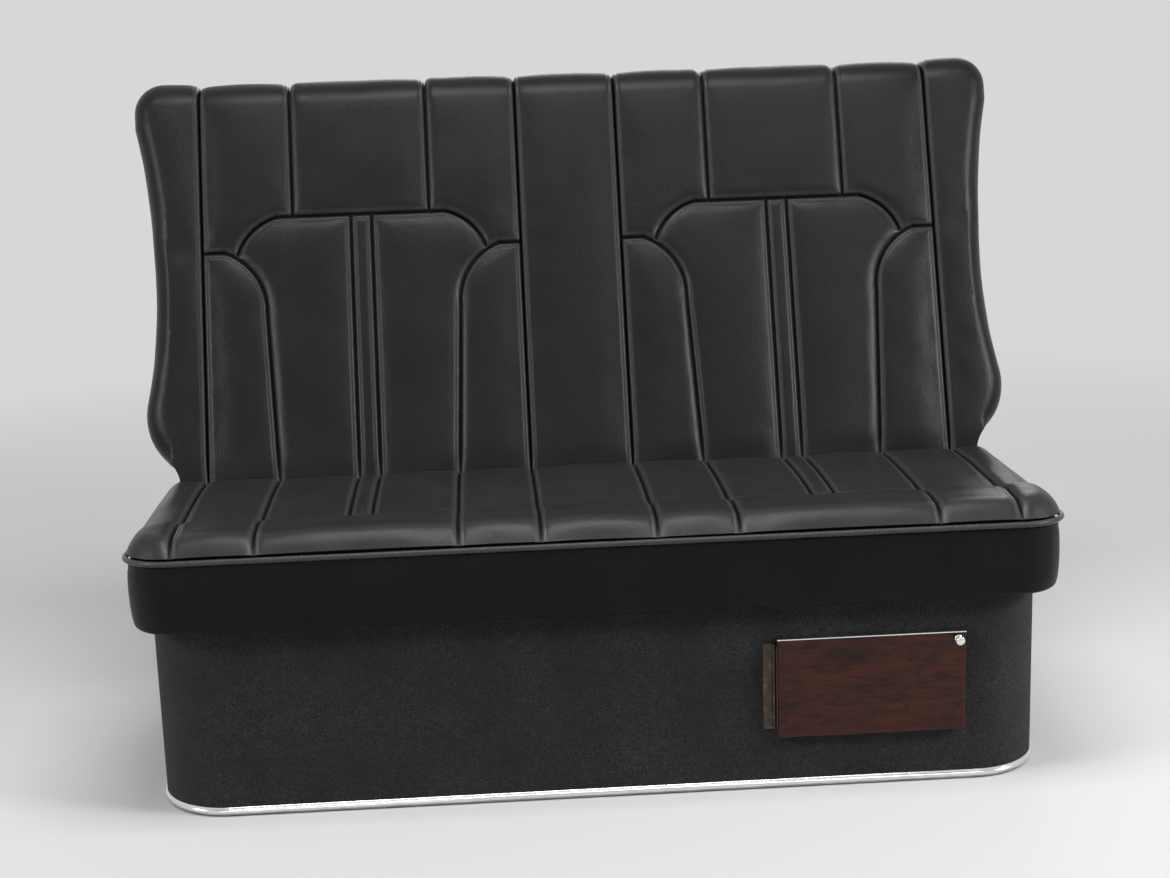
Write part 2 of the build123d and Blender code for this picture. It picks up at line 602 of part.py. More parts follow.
def make_back_fixings():
    bend = (PLINTH_REAR_Y, DECK_TOP_Z)
    up = (bend[0] + STRAP_UP * SIN_R, bend[1] + STRAP_UP * COS_R)
    down = (bend[0], bend[1] - STRAP_DOWN)
    mitre = STRAP_T * tan(RECLINE / 2)
    section = make_face(Polyline(
        down, bend, up,
        (up[0] + STRAP_T * COS_R, up[1] - STRAP_T * SIN_R),
        (bend[0] + STRAP_T, bend[1] - mitre),
        (down[0] + STRAP_T, down[1]), close=True,
    ))
    strap_x = BACK_HALF - BOLSTER_FOOT[0] - STRAP_INSET
    for name, x in (("left", -strap_x), ("centre", 0), ("right", strap_x)):
        save("back_strap_" + name, across(section, STRAP_WIDTH, x))

    # Hanger hooks: a leg on the board's back, a bridge and a leg that drops down the wall
    s1 = BACK_LENGTH - HANGER_TOP_DROP
    s0 = s1 - HANGER_LEG
    rear_n = -BACK_STACK
    leg_top = on_slope(s1, rear_n)
    wall_y = on_slope(BACK_LENGTH, rear_n)[0] + HANGER_REACH
    for name, side in (("left", -1), ("right", 1)):
        x = side * (BACK_HALF - HANGER_INSET)
        x0, x1 = x - HANGER_WIDTH / 2, x + HANGER_WIDTH / 2
        hanger = back_slab(rect_xs(x0, x1, s0, s1), rear_n - HANGER_T, rear_n)
        bridge_z = leg_top[1]
        hanger += block(x0, x1, leg_top[0], wall_y, bridge_z - HANGER_T, bridge_z)
        hanger += block(x0, x1, wall_y - HANGER_T, wall_y, bridge_z - HANGER_DROP, bridge_z)
        mid_z = bridge_z - HANGER_DROP / 2 - HANGER_T
        for way in (-1, 1):
            hole_z = mid_z + way * HANGER_HOLE_SPACING / 2
            hanger -= Pos(x, wall_y, hole_z) * Rot(90, 0, 0) * Cylinder(HANGER_HOLE_R, 4 * HANGER_T)
        save("wall_hanger_" + name, hanger)
    return mid_z, wall_y


make_plinth()
make_locker()
make_door()
make_hinge()
make_deck()
make_brackets()
make_cushion()
make_back()
wall_bolt_z, wall_bolt_y = make_back_fixings()
print("plinth depth", round(PLINTH_DEPTH, 2), "junction y", round(JUNCTION_Y, 2))
print("hinge axis", round(HINGE_X, 2), round(HINGE_Y, 2))
print("locker", HOLE_X0, HOLE_X1, round(LOCKER_Y0, 2), round(LOCKER_Y1, 2), HOLE_Z0, HOLE_Z1)
print("wall bolts y", round(wall_bolt_y, 2), "z", round(wall_bolt_z, 2))
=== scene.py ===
"""Looks of a limousine's rear bench seat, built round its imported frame. Metres, +Z up."""

import json
import logging
import math
from dataclasses import dataclass, field
from enum import Enum
from typing import Any, Optional, Sequence

import bpy
import numpy as np
from mathutils import Matrix, Vector

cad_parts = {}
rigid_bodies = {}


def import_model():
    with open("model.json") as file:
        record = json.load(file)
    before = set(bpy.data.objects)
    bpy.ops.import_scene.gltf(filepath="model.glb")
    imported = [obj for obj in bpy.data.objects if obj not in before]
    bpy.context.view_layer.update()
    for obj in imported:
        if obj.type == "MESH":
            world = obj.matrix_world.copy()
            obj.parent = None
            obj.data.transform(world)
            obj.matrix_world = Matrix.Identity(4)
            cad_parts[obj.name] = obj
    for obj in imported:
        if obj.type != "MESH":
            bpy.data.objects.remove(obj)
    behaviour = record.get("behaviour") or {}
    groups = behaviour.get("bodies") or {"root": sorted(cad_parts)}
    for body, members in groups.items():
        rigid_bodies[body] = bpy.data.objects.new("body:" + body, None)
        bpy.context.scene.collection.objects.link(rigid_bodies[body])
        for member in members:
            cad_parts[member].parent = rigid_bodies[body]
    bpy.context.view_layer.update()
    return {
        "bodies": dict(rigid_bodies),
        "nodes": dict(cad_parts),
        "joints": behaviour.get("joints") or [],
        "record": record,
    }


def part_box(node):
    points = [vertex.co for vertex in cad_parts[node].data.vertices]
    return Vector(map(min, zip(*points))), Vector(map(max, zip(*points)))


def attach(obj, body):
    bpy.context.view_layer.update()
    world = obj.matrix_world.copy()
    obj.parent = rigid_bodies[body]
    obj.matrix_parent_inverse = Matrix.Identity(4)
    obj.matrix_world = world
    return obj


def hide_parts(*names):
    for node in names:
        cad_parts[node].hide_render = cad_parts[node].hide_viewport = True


log = logging.getLogger("bench")
Array = np.ndarray
Point2 = tuple[float, float]
Point3 = tuple[float, float, float]
Colour = tuple[float, float, float]
Material = bpy.types.Material
Piece = bpy.types.Object

PALE_PAPER: Colour = (0.68, 0.68, 0.675)


class Slot(Enum):
    """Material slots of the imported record."""

    LEATHER = "black_leather"
    PLYWOOD = "birch_plywood"
    STEEL = "zinc_steel"
    CARPET = "charcoal_carpet"
    BRIGHT = "bright_trim"
    VENEER = "dark_veneer"
    BRONZE = "dark_bronze"
    PLASTIC = "catch_plastic"


class Body(Enum):
    """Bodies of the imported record."""

    BENCH = "bench"
    DOOR = "locker_door"


class Side(Enum):
    """The two ends of the bench, by the sign of X."""

    LEFT = -1
    RIGHT = 1


class Facing(Enum):
    """The way a board's flat faces look."""

    ACROSS = (1.0, 0.0, 0.0)
    BACK = (0.0, 1.0, 0.0)
    UP = (0.0, 0.0, 1.0)
    SLOPE = (0.0, -0.9315, 0.3637)


# Node graphs of the finishes


def background_rays(tree: bpy.types.NodeTree) -> Any:
    """A share that is 1 on the rays that see the plain background: camera, glossy and transmission."""
    path = tree.nodes.new("ShaderNodeLightPath")
    seen = path.outputs["Is Camera Ray"]
    for kind in ("Is Glossy Ray", "Is Transmission Ray"):
        either = tree.nodes.new("ShaderNodeMath")
        either.operation = "MAXIMUM"
        tree.links.new(seen, either.inputs[0])
        tree.links.new(path.outputs[kind], either.inputs[1])
        seen = either.outputs[0]
    return seen


def dimmed(colour: Colour, share: float) -> Colour:
    """A colour at a share of its brightness."""
    return tuple(share * part for part in colour)


class Graph:
    """A material's node tree round one Principled shader."""

    def __init__(self, name: str) -> None:
        """Start a material whose tree holds only the shader and the output."""
        self.material = bpy.data.materials.new(name)
        self.material.use_nodes = True
        self.tree = self.material.node_tree
        self.tree.nodes.clear()
        self.shader = self.add("ShaderNodeBsdfPrincipled")
        self.add("ShaderNodeOutputMaterial", {"Surface": self.shader.outputs["BSDF"]})

    def add(self, kind: str, inputs: Optional[dict] = None, **settings: Any) -> Any:
        """Add a node.

        Args:
            kind: The node's type name.
            inputs: What its inputs get, by their names or numbers.
            **settings: Properties of the node to set.

        Returns:
            The new node.
        """
        node = self.tree.nodes.new(kind)
        for key, value in settings.items():
            setattr(node, key, value)
        for key, value in (inputs or {}).items():
            self.feed(node.inputs[key], value)
        return node

    def feed(self, socket: Any, value: Any) -> None:
        """Give an input a number, a vector, a colour or another node's output."""
        if isinstance(value, bpy.types.NodeSocket):
            self.tree.links.new(value, socket)
        elif socket.type == "RGBA":
            socket.default_value = (*value, 1.0)
        else:
            socket.default_value = value

    def set(self, **values: Any) -> None:
        """Feed inputs of the shader, named with _ for a space."""
        for key, value in values.items():
            self.feed(self.shader.inputs[key.replace("_", " ")], value)

    def coords(self, stretch: Sequence[float] = (1.0, 1.0, 1.0)) -> Any:
        """The piece's own coordinates in metres, multiplied by stretch."""
        source = self.add("ShaderNodeTexCoord").outputs["Object"]
        return self.add("ShaderNodeMapping", {"Vector": source, "Scale": tuple(stretch)}).outputs["Vector"]

    def noise(self, scale: float, detail: float, stretch: Sequence[float] = (1.0, 1.0, 1.0),
              twist: float = 0.0) -> Any:
        """A cloud pattern from 0 to 1."""
        inputs = {"Scale": scale, "Detail": detail, "Distortion": twist, "Vector": self.coords(stretch)}
        return self.add("ShaderNodeTexNoise", inputs).outputs["Fac"]

    def cells(self, scale: float, edges: bool) -> Any:
        """Distance in a cell pattern, from the cells' edges or their middles."""
        feature = "DISTANCE_TO_EDGE" if edges else "F1"
        node = self.add("ShaderNodeTexVoronoi", {"Scale": scale, "Vector": self.coords()}, feature=feature)
        return node.outputs["Distance"]

    def ramp(self, value: Any, start: float, end: float, low: float = 0.0, high: float = 1.0) -> Any:
        """Turn start to end of a value into low to high, held at both ends."""
        inputs = {"Value": value, "From Min": start, "From Max": end, "To Min": low, "To Max": high}
        return self.add("ShaderNodeMapRange", inputs).outputs["Result"]

    def math(self, operation: str, first: Any, second: Any) -> Any:
        """One arithmetic step on two values."""
        return self.add("ShaderNodeMath", {0: first, 1: second}, operation=operation).outputs[0]

    def times(self, first: Any, second: Any) -> Any:
        """The product of two values."""
        return self.math("MULTIPLY", first, second)

    def dot(self, vector: Any, way: Point3) -> Any:
        """How far a vector reaches along a way."""
        return self.add("ShaderNodeVectorMath", {0: vector, 1: way}, operation="DOT_PRODUCT").outputs["Value"]

    def blend(self, share: Any, first: Any, second: Any) -> Any:
        """Mix two colours by share."""
        return self.add("ShaderNodeMix", {0: share, 6: first, 7: second}, data_type="RGBA").outputs[2]

    def attribute(self, name: str) -> Any:
        """A number kept at the mesh's points."""
        return self.add("ShaderNodeAttribute", attribute_name=name).outputs["Fac"]

    def bump(self, height: Any, distance: float, strength: float = 1.0, under: Any = None) -> Any:
        """Small relief of a height pattern, distance metres deep."""
        inputs = {"Strength": strength, "Distance": distance, "Height": height}
        if under is not None:
            inputs["Normal"] = under
        return self.add("ShaderNodeBump", inputs).outputs["Normal"]


class Finish:
    """A finish of the bench, laid as nodes round the shader of its own material."""

    name: str

    def lay(self, graph: Graph) -> None:
        """Build the finish's nodes."""
        raise NotImplementedError

    def material(self) -> Material:
        """The finish as a material."""
        graph = Graph(self.name)
        self.lay(graph)
        return graph.material


@dataclass(frozen=True)
class Leather(Finish):
    """Black seat leather: pebbled grain, fine creases and a satin sheen, shinier where it is sat on. Beside
    each seam a lighter band, part wear and part painted highlight on the raised edges, and in the seam itself
    a painted dark shade line.
    """

    name: str = "seat_leather"
    dark: Colour = (0.0046, 0.0046, 0.0046)
    worn: Colour = (0.0115, 0.0115, 0.0114)
    # Lighter colour of the band beside the seams: part wear, part painted highlight on the raised edges
    rubbed_sheen: Colour = (0.034, 0.0345, 0.036)
    # Painted shade: the dark colour laid in the seam valleys, where shade falls
    seam_shade: Colour = (0.0020, 0.0020, 0.0020)
    grain_scale: float = 780.0
    grain_depth: float = 0.00008
    crease_depth: float = 0.000224
    seam_shade_within: float = 0.0022
    rubbed_sheen_from: Point2 = (0.0018, 0.0040)
    rubbed_sheen_to: Point2 = (0.0060, 0.0110)
    gloss: float = 0.18
    rough: Point2 = (0.27, 0.34)

    def lay(self, graph: Graph) -> None:
        """Build the finish's nodes."""
        patches = graph.ramp(graph.noise(9.0, 4.0), 0.35, 0.7)
        mottle = graph.ramp(graph.noise(230.0, 2.0), 0.3, 0.7)
        share = graph.times(patches, 0.45)
        share = graph.math("ADD", share, graph.times(mottle, 0.25))
        colour = graph.blend(share, self.dark, self.worn)
        seam = graph.attribute("seam")
        # The band beside the seams is painted lighter: part wear, part painted highlight on the raised edges
        rubbed_sheen = graph.times(graph.ramp(seam, *self.rubbed_sheen_from), graph.ramp(seam, *self.rubbed_sheen_to, 1.0, 0.0))
        colour = graph.blend(graph.times(rubbed_sheen, 0.75), colour, self.rubbed_sheen)
        # Painted shade: the seam valleys are painted dark
        colour = graph.blend(graph.ramp(seam, 0.0, self.seam_shade_within), self.seam_shade, colour)
        rough = graph.ramp(graph.noise(14.0, 5.0), 0.3, 0.7, *self.rough)
        rough = graph.math("ADD", rough, graph.ramp(mottle, 0.0, 1.0, 0.0, 0.06))
        rough = graph.math("SUBTRACT", rough, graph.times(rubbed_sheen, 0.07))
        pebbles = graph.ramp(graph.cells(self.grain_scale, True), 0.0, 0.28)
        creases = graph.ramp(graph.noise(150.0, 6.0, (1.0, 0.6, 0.6), 0.8), 0.35, 0.65)
        relief = graph.bump(creases, self.crease_depth, 0.5)
        relief = graph.bump(pebbles, self.grain_depth, 0.75, relief)
        graph.set(Base_Color=colour, Roughness=rough, Normal=relief, Specular_IOR_Level=self.gloss)


@dataclass(frozen=True)
class Thread(Finish):
    """Bonded upholstery thread, a twisted two-ply cord."""

    name: str = "seat_thread"
    colour: Colour = (0.030, 0.031, 0.033)

    def lay(self, graph: Graph) -> None:
        """Build the finish's nodes."""
        ply = graph.ramp(graph.noise(2600.0, 1.0, (1.0, 1.0, 0.3)), 0.35, 0.65)
        colour = graph.blend(ply, dimmed(self.colour, 0.5), self.colour)
        graph.set(Base_Color=colour, Roughness=0.52, Normal=graph.bump(ply, 0.0001))


@dataclass(frozen=True)
class BirchPly(Finish):
    """Bare birch plywood: long grain on its faces and stacked veneers on its edges."""

    facing: Facing
    light: Colour = (0.66, 0.50, 0.33)
    dark: Colour = (0.50, 0.345, 0.20)
    glue: Colour = (0.20, 0.115, 0.06)
    veneer: float = 0.0015

    @property
    def name(self) -> str:
        """The material's name, by the way that the board's faces look."""
        return "birch_ply_" + self.facing.name.lower()

    def lay(self, graph: Graph) -> None:
        """Build the finish's nodes, with the grain along Y in boards that stand across."""
        along = (60.0, 4.0, 60.0) if self.facing is Facing.ACROSS else (4.0, 60.0, 60.0)
        lines = graph.ramp(graph.noise(1.0, 8.0, along, 0.6), 0.32, 0.72)
        clouds = graph.ramp(graph.noise(3.0, 3.0), 0.3, 0.7)
        flecks = graph.ramp(graph.noise(1.0, 2.0, [v * 9 for v in along]), 0.62, 0.75)
        fine = graph.ramp(graph.noise(1.0, 4.0, [v * 5 for v in along], 0.2), 0.36, 0.66)
        face = graph.blend(lines, self.light, self.dark)
        face = graph.blend(graph.times(fine, 0.45), face, self.dark)
        face = graph.blend(graph.times(clouds, 0.25), face, self.dark)
        face = graph.blend(graph.times(flecks, 0.4), face, self.glue)
        depth = graph.dot(graph.coords(), self.facing.value)
        layer = graph.math("FRACT", graph.math("DIVIDE", depth, 2 * self.veneer), 0.0)
        cross = graph.math("GREATER_THAN", layer, 0.5)
        line = graph.math("FRACT", graph.math("DIVIDE", depth, self.veneer), 0.0)
        seam = graph.math("LESS_THAN", line, 0.1)
        edge = graph.blend(cross, self.light, self.dark)
        edge = graph.blend(seam, edge, self.glue)
        normal = graph.add("ShaderNodeNewGeometry").outputs["True Normal"]
        flat = graph.math("ABSOLUTE", graph.dot(normal, self.facing.value), 0.0)
        colour = graph.blend(graph.math("GREATER_THAN", flat, 0.8), edge, face)
        graph.set(Base_Color=colour, Roughness=graph.ramp(lines, 0.0, 1.0, 0.5, 0.66))
        graph.set(Normal=graph.bump(lines, 0.00012, 0.6))


@dataclass(frozen=True)
class ZincSteel(Finish):
    """Zinc plated steel with a faint spangle and handling marks."""

    name: str = "zinc_plate"
    tint: Colour = (0.60, 0.60, 0.585)
    dull: Colour = (0.52, 0.49, 0.40)

    def lay(self, graph: Graph) -> None:
        """Build the finish's nodes."""
        spangle = graph.ramp(graph.cells(160.0, False), 0.1, 0.8)
        cloud = graph.ramp(graph.noise(40.0, 4.0), 0.35, 0.7)
        colour = graph.blend(spangle, self.tint, dimmed(self.tint, 0.82))
        colour = graph.blend(graph.times(cloud, 0.3), colour, self.dull)
        marks = graph.ramp(graph.noise(90.0, 5.0, (1.0, 1.0, 14.0)), 0.45, 0.6)
        graph.set(Base_Color=colour, Metallic=1.0, Roughness=graph.ramp(cloud, 0.0, 1.0, 0.28, 0.46))
        graph.set(Normal=graph.bump(marks, 0.00004, 0.5))


@dataclass(frozen=True)
class DarkBronze(Finish):
    """Satin dark bronze plating, rubbed brighter in places."""

    name: str = "bronze_plate"
    tint: Colour = (0.070, 0.055, 0.045)
    rubbed_sheen: Colour = (0.21, 0.155, 0.11)

    def lay(self, graph: Graph) -> None:
        """Build the finish's nodes."""
        wear = graph.ramp(graph.noise(70.0, 5.0), 0.55, 0.75)
        lines = graph.ramp(graph.noise(60.0, 5.0, (20.0, 20.0, 1.0)), 0.4, 0.62)
        colour = graph.blend(graph.times(wear, 0.6), self.tint, self.rubbed_sheen)
        graph.set(Base_Color=colour, Metallic=1.0, Roughness=graph.ramp(wear, 0.0, 1.0, 0.42, 0.3))
        graph.set(Normal=graph.bump(lines, 0.00003, 0.4))


@dataclass(frozen=True)
class BrightTrim(Finish):
    """Polished bright metal with hairline marks from cleaning."""

    name: str = "polished_trim"
    tint: Colour = (0.82, 0.82, 0.835)

    def lay(self, graph: Graph) -> None:
        """Build the finish's nodes."""
        lines = graph.ramp(graph.noise(60.0, 6.0, (2.0, 20.0, 40.0), 0.4), 0.4, 0.62)
        smudge = graph.ramp(graph.noise(35.0, 3.0), 0.4, 0.7)
        colour = graph.blend(smudge, self.tint, dimmed(self.tint, 0.9))
        graph.set(Base_Color=colour, Metallic=1.0, Roughness=graph.ramp(smudge, 0.0, 1.0, 0.09, 0.2))
        graph.set(Normal=graph.bump(lines, 0.000006, 0.25))


@dataclass(frozen=True)
class Veneer(Finish):
    """Dark red-brown burr veneer under a clear gloss lacquer."""

    name: str = "lacquered_veneer"
    deep: Colour = (0.0060, 0.0012, 0.0009)
    red: Colour = (0.036, 0.0050, 0.0023)
    amber: Colour = (0.066, 0.014, 0.0050)

    def lay(self, graph: Graph) -> None:
        """Build the finish's nodes."""
        swirl = graph.ramp(graph.noise(7.0, 6.0, (1.0, 1.0, 2.4), 2.6), 0.3, 0.68)
        lines = graph.ramp(graph.noise(16.0, 9.0, (1.0, 1.0, 7.0), 1.6), 0.36, 0.64)
        pores = graph.ramp(graph.noise(220.0, 2.0, (0.25, 1.0, 1.0)), 0.58, 0.7)
        colour = graph.blend(swirl, self.red, self.deep)
        colour = graph.blend(graph.times(lines, 0.55), colour, self.amber)
        colour = graph.blend(graph.times(pores, 0.8), colour, self.deep)
        ripple = graph.bump(graph.noise(26.0, 2.0), 0.0002, 0.25)
        graph.set(Base_Color=colour, Roughness=graph.ramp(lines, 0.0, 1.0, 0.34, 0.46))
        graph.set(Specular_IOR_Level=0.04)
        graph.set(Coat_Weight=1.0, Coat_Roughness=0.045, Coat_IOR=1.3, Coat_Normal=ripple)


@dataclass(frozen=True)
class PileCarpet(Finish):
    """Short cut pile carpet in charcoal, with lighter fibre ends."""

    name: str = "pile_carpet"
    root: Colour = (0.0060, 0.0060, 0.0063)
    tip: Colour = (0.060, 0.060, 0.062)

    def lay(self, graph: Graph) -> None:
        """Build the finish's nodes."""
        tufts = graph.ramp(graph.cells(560.0, False), 0.1, 0.75, 1.0, 0.0)
        fibres = graph.ramp(graph.noise(1500.0, 3.0), 0.35, 0.68)
        lay = graph.ramp(graph.noise(11.0, 4.0), 0.35, 0.68)
        clumps = graph.ramp(graph.noise(135.0, 3.0), 0.34, 0.66, 0.45, 1.35)
        share = graph.times(graph.times(tufts, fibres), graph.math("ADD", lay, 0.6))
        share = graph.times(share, clumps)
        colour = graph.blend(share, self.root, self.tip)
        relief = graph.bump(fibres, 0.0006, 0.8, graph.bump(tufts, 0.0011, 0.9))
        graph.set(Base_Color=colour, Roughness=0.95, Normal=relief, Specular_IOR_Level=0.15)
        graph.set(Sheen_Weight=0.10, Sheen_Roughness=0.6)


@dataclass(frozen=True)
class MouldedPlastic(Finish):
    """Dark moulded plastic with a fine spark-eroded texture."""

    name: str = "moulded_plastic"
    tint: Colour = (0.045, 0.045, 0.047)

    def lay(self, graph: Graph) -> None:
        """Build the finish's nodes."""
        grain = graph.ramp(graph.noise(1400.0, 2.0), 0.3, 0.7)
        colour = graph.blend(grain, self.tint, dimmed(self.tint, 0.8))
        graph.set(Base_Color=colour, Roughness=graph.ramp(grain, 0.0, 1.0, 0.42, 0.55))
        graph.set(Normal=graph.bump(grain, 0.00005, 0.5))


@dataclass(frozen=True)
class StudioFloor(Finish):
    """Matt pale paper floor, pure pale to the camera and keeping the bench's shadow."""

    name: str = "studio_floor"
    tint: Colour = PALE_PAPER
    near: float = 0.9
    far: float = 3.2

    def lay(self, graph: Graph) -> None:
        """Build the finish's nodes."""
        cloud = graph.ramp(graph.noise(0.8, 2.0), 0.3, 0.7)
        colour = graph.blend(cloud, self.tint, dimmed(self.tint, 0.985))
        graph.set(Base_Color=colour, Roughness=0.85, Specular_IOR_Level=0.2)
        # Far from the bench the floor is plain pale paper to the camera and in reflections
        far = graph.add("ShaderNodeEmission", {"Color": self.tint})
        length = graph.add("ShaderNodeVectorMath", {0: graph.coords()}, operation="LENGTH")
        distance = graph.ramp(length.outputs["Value"], self.near, self.far)
        share = graph.times(background_rays(graph.tree), distance)
        mix = graph.add("ShaderNodeMixShader", {0: share, 1: graph.shader.outputs["BSDF"], 2: far.outputs[0]})
        graph.feed(graph.tree.nodes["Material Output"].inputs["Surface"], mix.outputs[0])


def made(finish: Finish) -> Any:
    """A field of the wardrobe that holds a finish's material."""
    return field(default_factory=finish.material)


@dataclass
class Wardrobe:
    """Every finish of the bench, made once."""

    leather: Material = made(Leather())
    # Painted light: a lighter copy of the leather for the cushion and the welt, which face the lamps more;
    # with more gloss where it is sat on
    lit_leather: Material = made(Leather(
        "lit_seat_leather", dark=(0.0138, 0.0137, 0.0134), worn=(0.0275, 0.0272, 0.0264),
        rubbed_sheen=(0.053, 0.0522, 0.0505), gloss=0.24,
    ))
    # Painted shade: a darker, duller copy of the leather for the fascia band under the cushion's lip
    shaded_band_leather: Material = made(Leather(
        "shaded_band_leather", dark=(0.0030, 0.0030, 0.0030), worn=(0.0075, 0.0075, 0.0075),
        gloss=0.12, rough=(0.34, 0.42),
    ))
    thread: Material = made(Thread())
    steel: Material = made(ZincSteel())
    bronze: Material = made(DarkBronze())
    bright: Material = made(BrightTrim())
    veneer: Material = made(Veneer())
    carpet: Material = made(PileCarpet())
    plastic: Material = made(MouldedPlastic())
    ply: dict[Facing, Material] = field(
        default_factory=lambda: {facing: BirchPly(facing).material() for facing in Facing})


# Shapes shared by the pieces

# Seam distance kept where no seam is near, which the leather finishes read
NO_SEAM = 0.02


def unit(vectors: Array) -> Array:
    """Vectors at length 1."""
    return vectors / (np.linalg.norm(vectors, axis=-1, keepdims=True) + 1e-12)


def step_between(value: Array, start: float, end: float) -> Array:
    """A smooth step from 0 at start to 1 at end."""
    share = np.clip((value - start) / (end - start), 0.0, 1.0)
    return share * share * (3 - 2 * share)


def runs(start: float, end: float, step: float) -> Array:
    """Evenly spaced values from start to end, about step apart."""
    count = max(1, round(abs(end - start) / step))
    return np.linspace(start, end, count + 1)


def quarter(step: float) -> Array:
    """Angles of a quarter turn, about step apart and without the first."""
    return runs(0.0, math.pi / 2, step)[1:]


def places_among(values: Array, marks: Array) -> Array:
    """Where values lie among marks, counted from 0."""
    return np.interp(values, marks, np.arange(len(marks)))


def waves(points: Array, scale: float, seed: int) -> Array:
    """Smooth seeded noise from about -1 to 1 at points.

    Args:
        points: Places, with their coordinates on the last axis.
        scale: Waves to the metre.
        seed: Number of the pattern.

    Returns:
        One number for each point.
    """
    size = 24
    table = np.random.default_rng(seed).uniform(-1.0, 1.0, (size, size, size))
    spot = points * scale + 0.37 * seed
    base = np.floor(spot).astype(int)
    part = spot - base
    part = part * part * (3 - 2 * part)
    total = np.zeros(points.shape[:-1])
    for corner in np.ndindex(2, 2, 2):
        cell = (base + corner) % size
        weight = np.prod(np.where(corner, part, 1 - part), axis=-1)
        total += weight * table[cell[..., 0], cell[..., 1], cell[..., 2]]
    return 1.4 * total


FINE_STEP: float = 0.0013
FINE_REACH: float = 0.009


def spaced(start: float, end: float, marks: Sequence[float], coarse: float) -> Array:
    """Values from start to end, with every mark among them and close together near the marks.

    Args:
        start: First value.
        end: Last value.
        marks: Values to hit.
        coarse: Spacing away from them.

    Returns:
        The values.
    """
    knots = sorted({start, end, *(mark for mark in marks if start < mark < end)})
    parts = []
    for low, high in zip(knots[:-1], knots[1:]):
        dense = np.linspace(low, high, 400)
        away = np.abs(dense[:, None] - np.array(marks)[None]).min(1)
        share = step_between(away, FINE_REACH * 0.8, FINE_REACH * 2.2)
        rate = 1 / (FINE_STEP + (coarse - FINE_STEP) * share)
        total = np.concatenate([[0.0], np.cumsum((rate[1:] + rate[:-1]) / 2 * np.diff(dense))])
        count = max(1, round(total[-1]))
        parts.append(np.interp(np.linspace(0.0, total[-1], count + 1), total, dense)[:-1])
    return np.concatenate([*parts, [end]])


@dataclass(frozen=True)
class Seam:
    """A sewn line, straight or an arc through a third point.

    The raised edge is left of its way where lip is 1, right where it is -1, and on both sides at 0. It
    stops short where the line ends, and less so with a small ending, for a line that runs on in another.
    """

    start: Point2
    end: Point2
    via: Optional[Point2] = None
    lip: int = 1
    ending: float = 2.5

    def circle(self) -> tuple[Array, float, float, float]:
        """The arc's centre, radius, first angle and signed sweep."""
        p, q, r = (np.array(v) for v in (self.start, self.via, self.end))
        rows = 2 * np.array([q - p, r - p])
        centre = np.linalg.solve(rows, np.array([q @ q - p @ p, r @ r - p @ p]))
        first, middle, last = (math.atan2(*(v - centre)[::-1]) for v in (p, q, r))
        sweep = (last - first) % math.tau
        if (middle - first) % math.tau > sweep:
            sweep -= math.tau
        return centre, float(np.hypot(*(p - centre))), first, sweep

    def near(self, a: Array, b: Array) -> tuple[Array, Array, Array]:
        """How far points are from the line.

        Args:
            a: First coordinates.
            b: Second coordinates.

        Returns:
            The distances, the side of each point, 1 on the left, and how far each lies past the line's ends,
            times ending.
        """
        p, q = np.array(self.start), np.array(self.end)
        if self.via is None:
            way = q - p
            length = np.hypot(*way)
            way = way / length
            foot = (a - p[0]) * way[0] + (b - p[1]) * way[1]
            along = np.clip(foot, 0.0, length)
            off_a, off_b = a - p[0] - along * way[0], b - p[1] - along * way[1]
            side = np.sign(way[0] * off_b - way[1] * off_a)
            return np.hypot(off_a, off_b), side, self.ending * np.abs(foot - along)
        centre, radius, first, sweep = self.circle()
        reach = np.hypot(a - centre[0], b - centre[1])
        turned = ((np.arctan2(b - centre[1], a - centre[0]) - first) * np.sign(sweep)) % math.tau
        ends = np.minimum(np.hypot(a - p[0], b - p[1]), np.hypot(a - q[0], b - q[1]))
        beside = turned <= abs(sweep)
        distance = np.where(beside, np.abs(reach - radius), ends)
        past = self.ending * radius * np.minimum(turned - abs(sweep), math.tau - turned)
        return distance, np.sign((radius - reach) * sweep), np.where(beside, 0.0, past)

    def points(self, step: float, aside: float = 0.0) -> tuple[Array, Array]:
        """Points along the line, or beside it.

        Args:
            step: Distance between points.
            aside: How far to the left of the line.

        Returns:
            The points and the line's direction at each.
        """
        p, q = np.array(self.start), np.array(self.end)
        if self.via is None:
            length = float(np.hypot(*(q - p)))
            along = np.arange(step / 2, length, step)[:, None]
            way = np.repeat(((q - p) / length)[None], len(along), 0)
            spots = p + along * way
        else:
            centre, radius, first, sweep = self.circle()
            along = np.arange(step / 2, radius * abs(sweep), step) / radius * np.sign(sweep)
            angle = first + along
            out = np.stack([np.cos(angle), np.sin(angle)], -1)
            spots = centre + radius * out
            way = np.stack([-out[:, 1], out[:, 0]], -1) * np.sign(sweep)
        left = np.stack([-way[:, 1], way[:, 0]], -1)
        return spots + aside * left, way


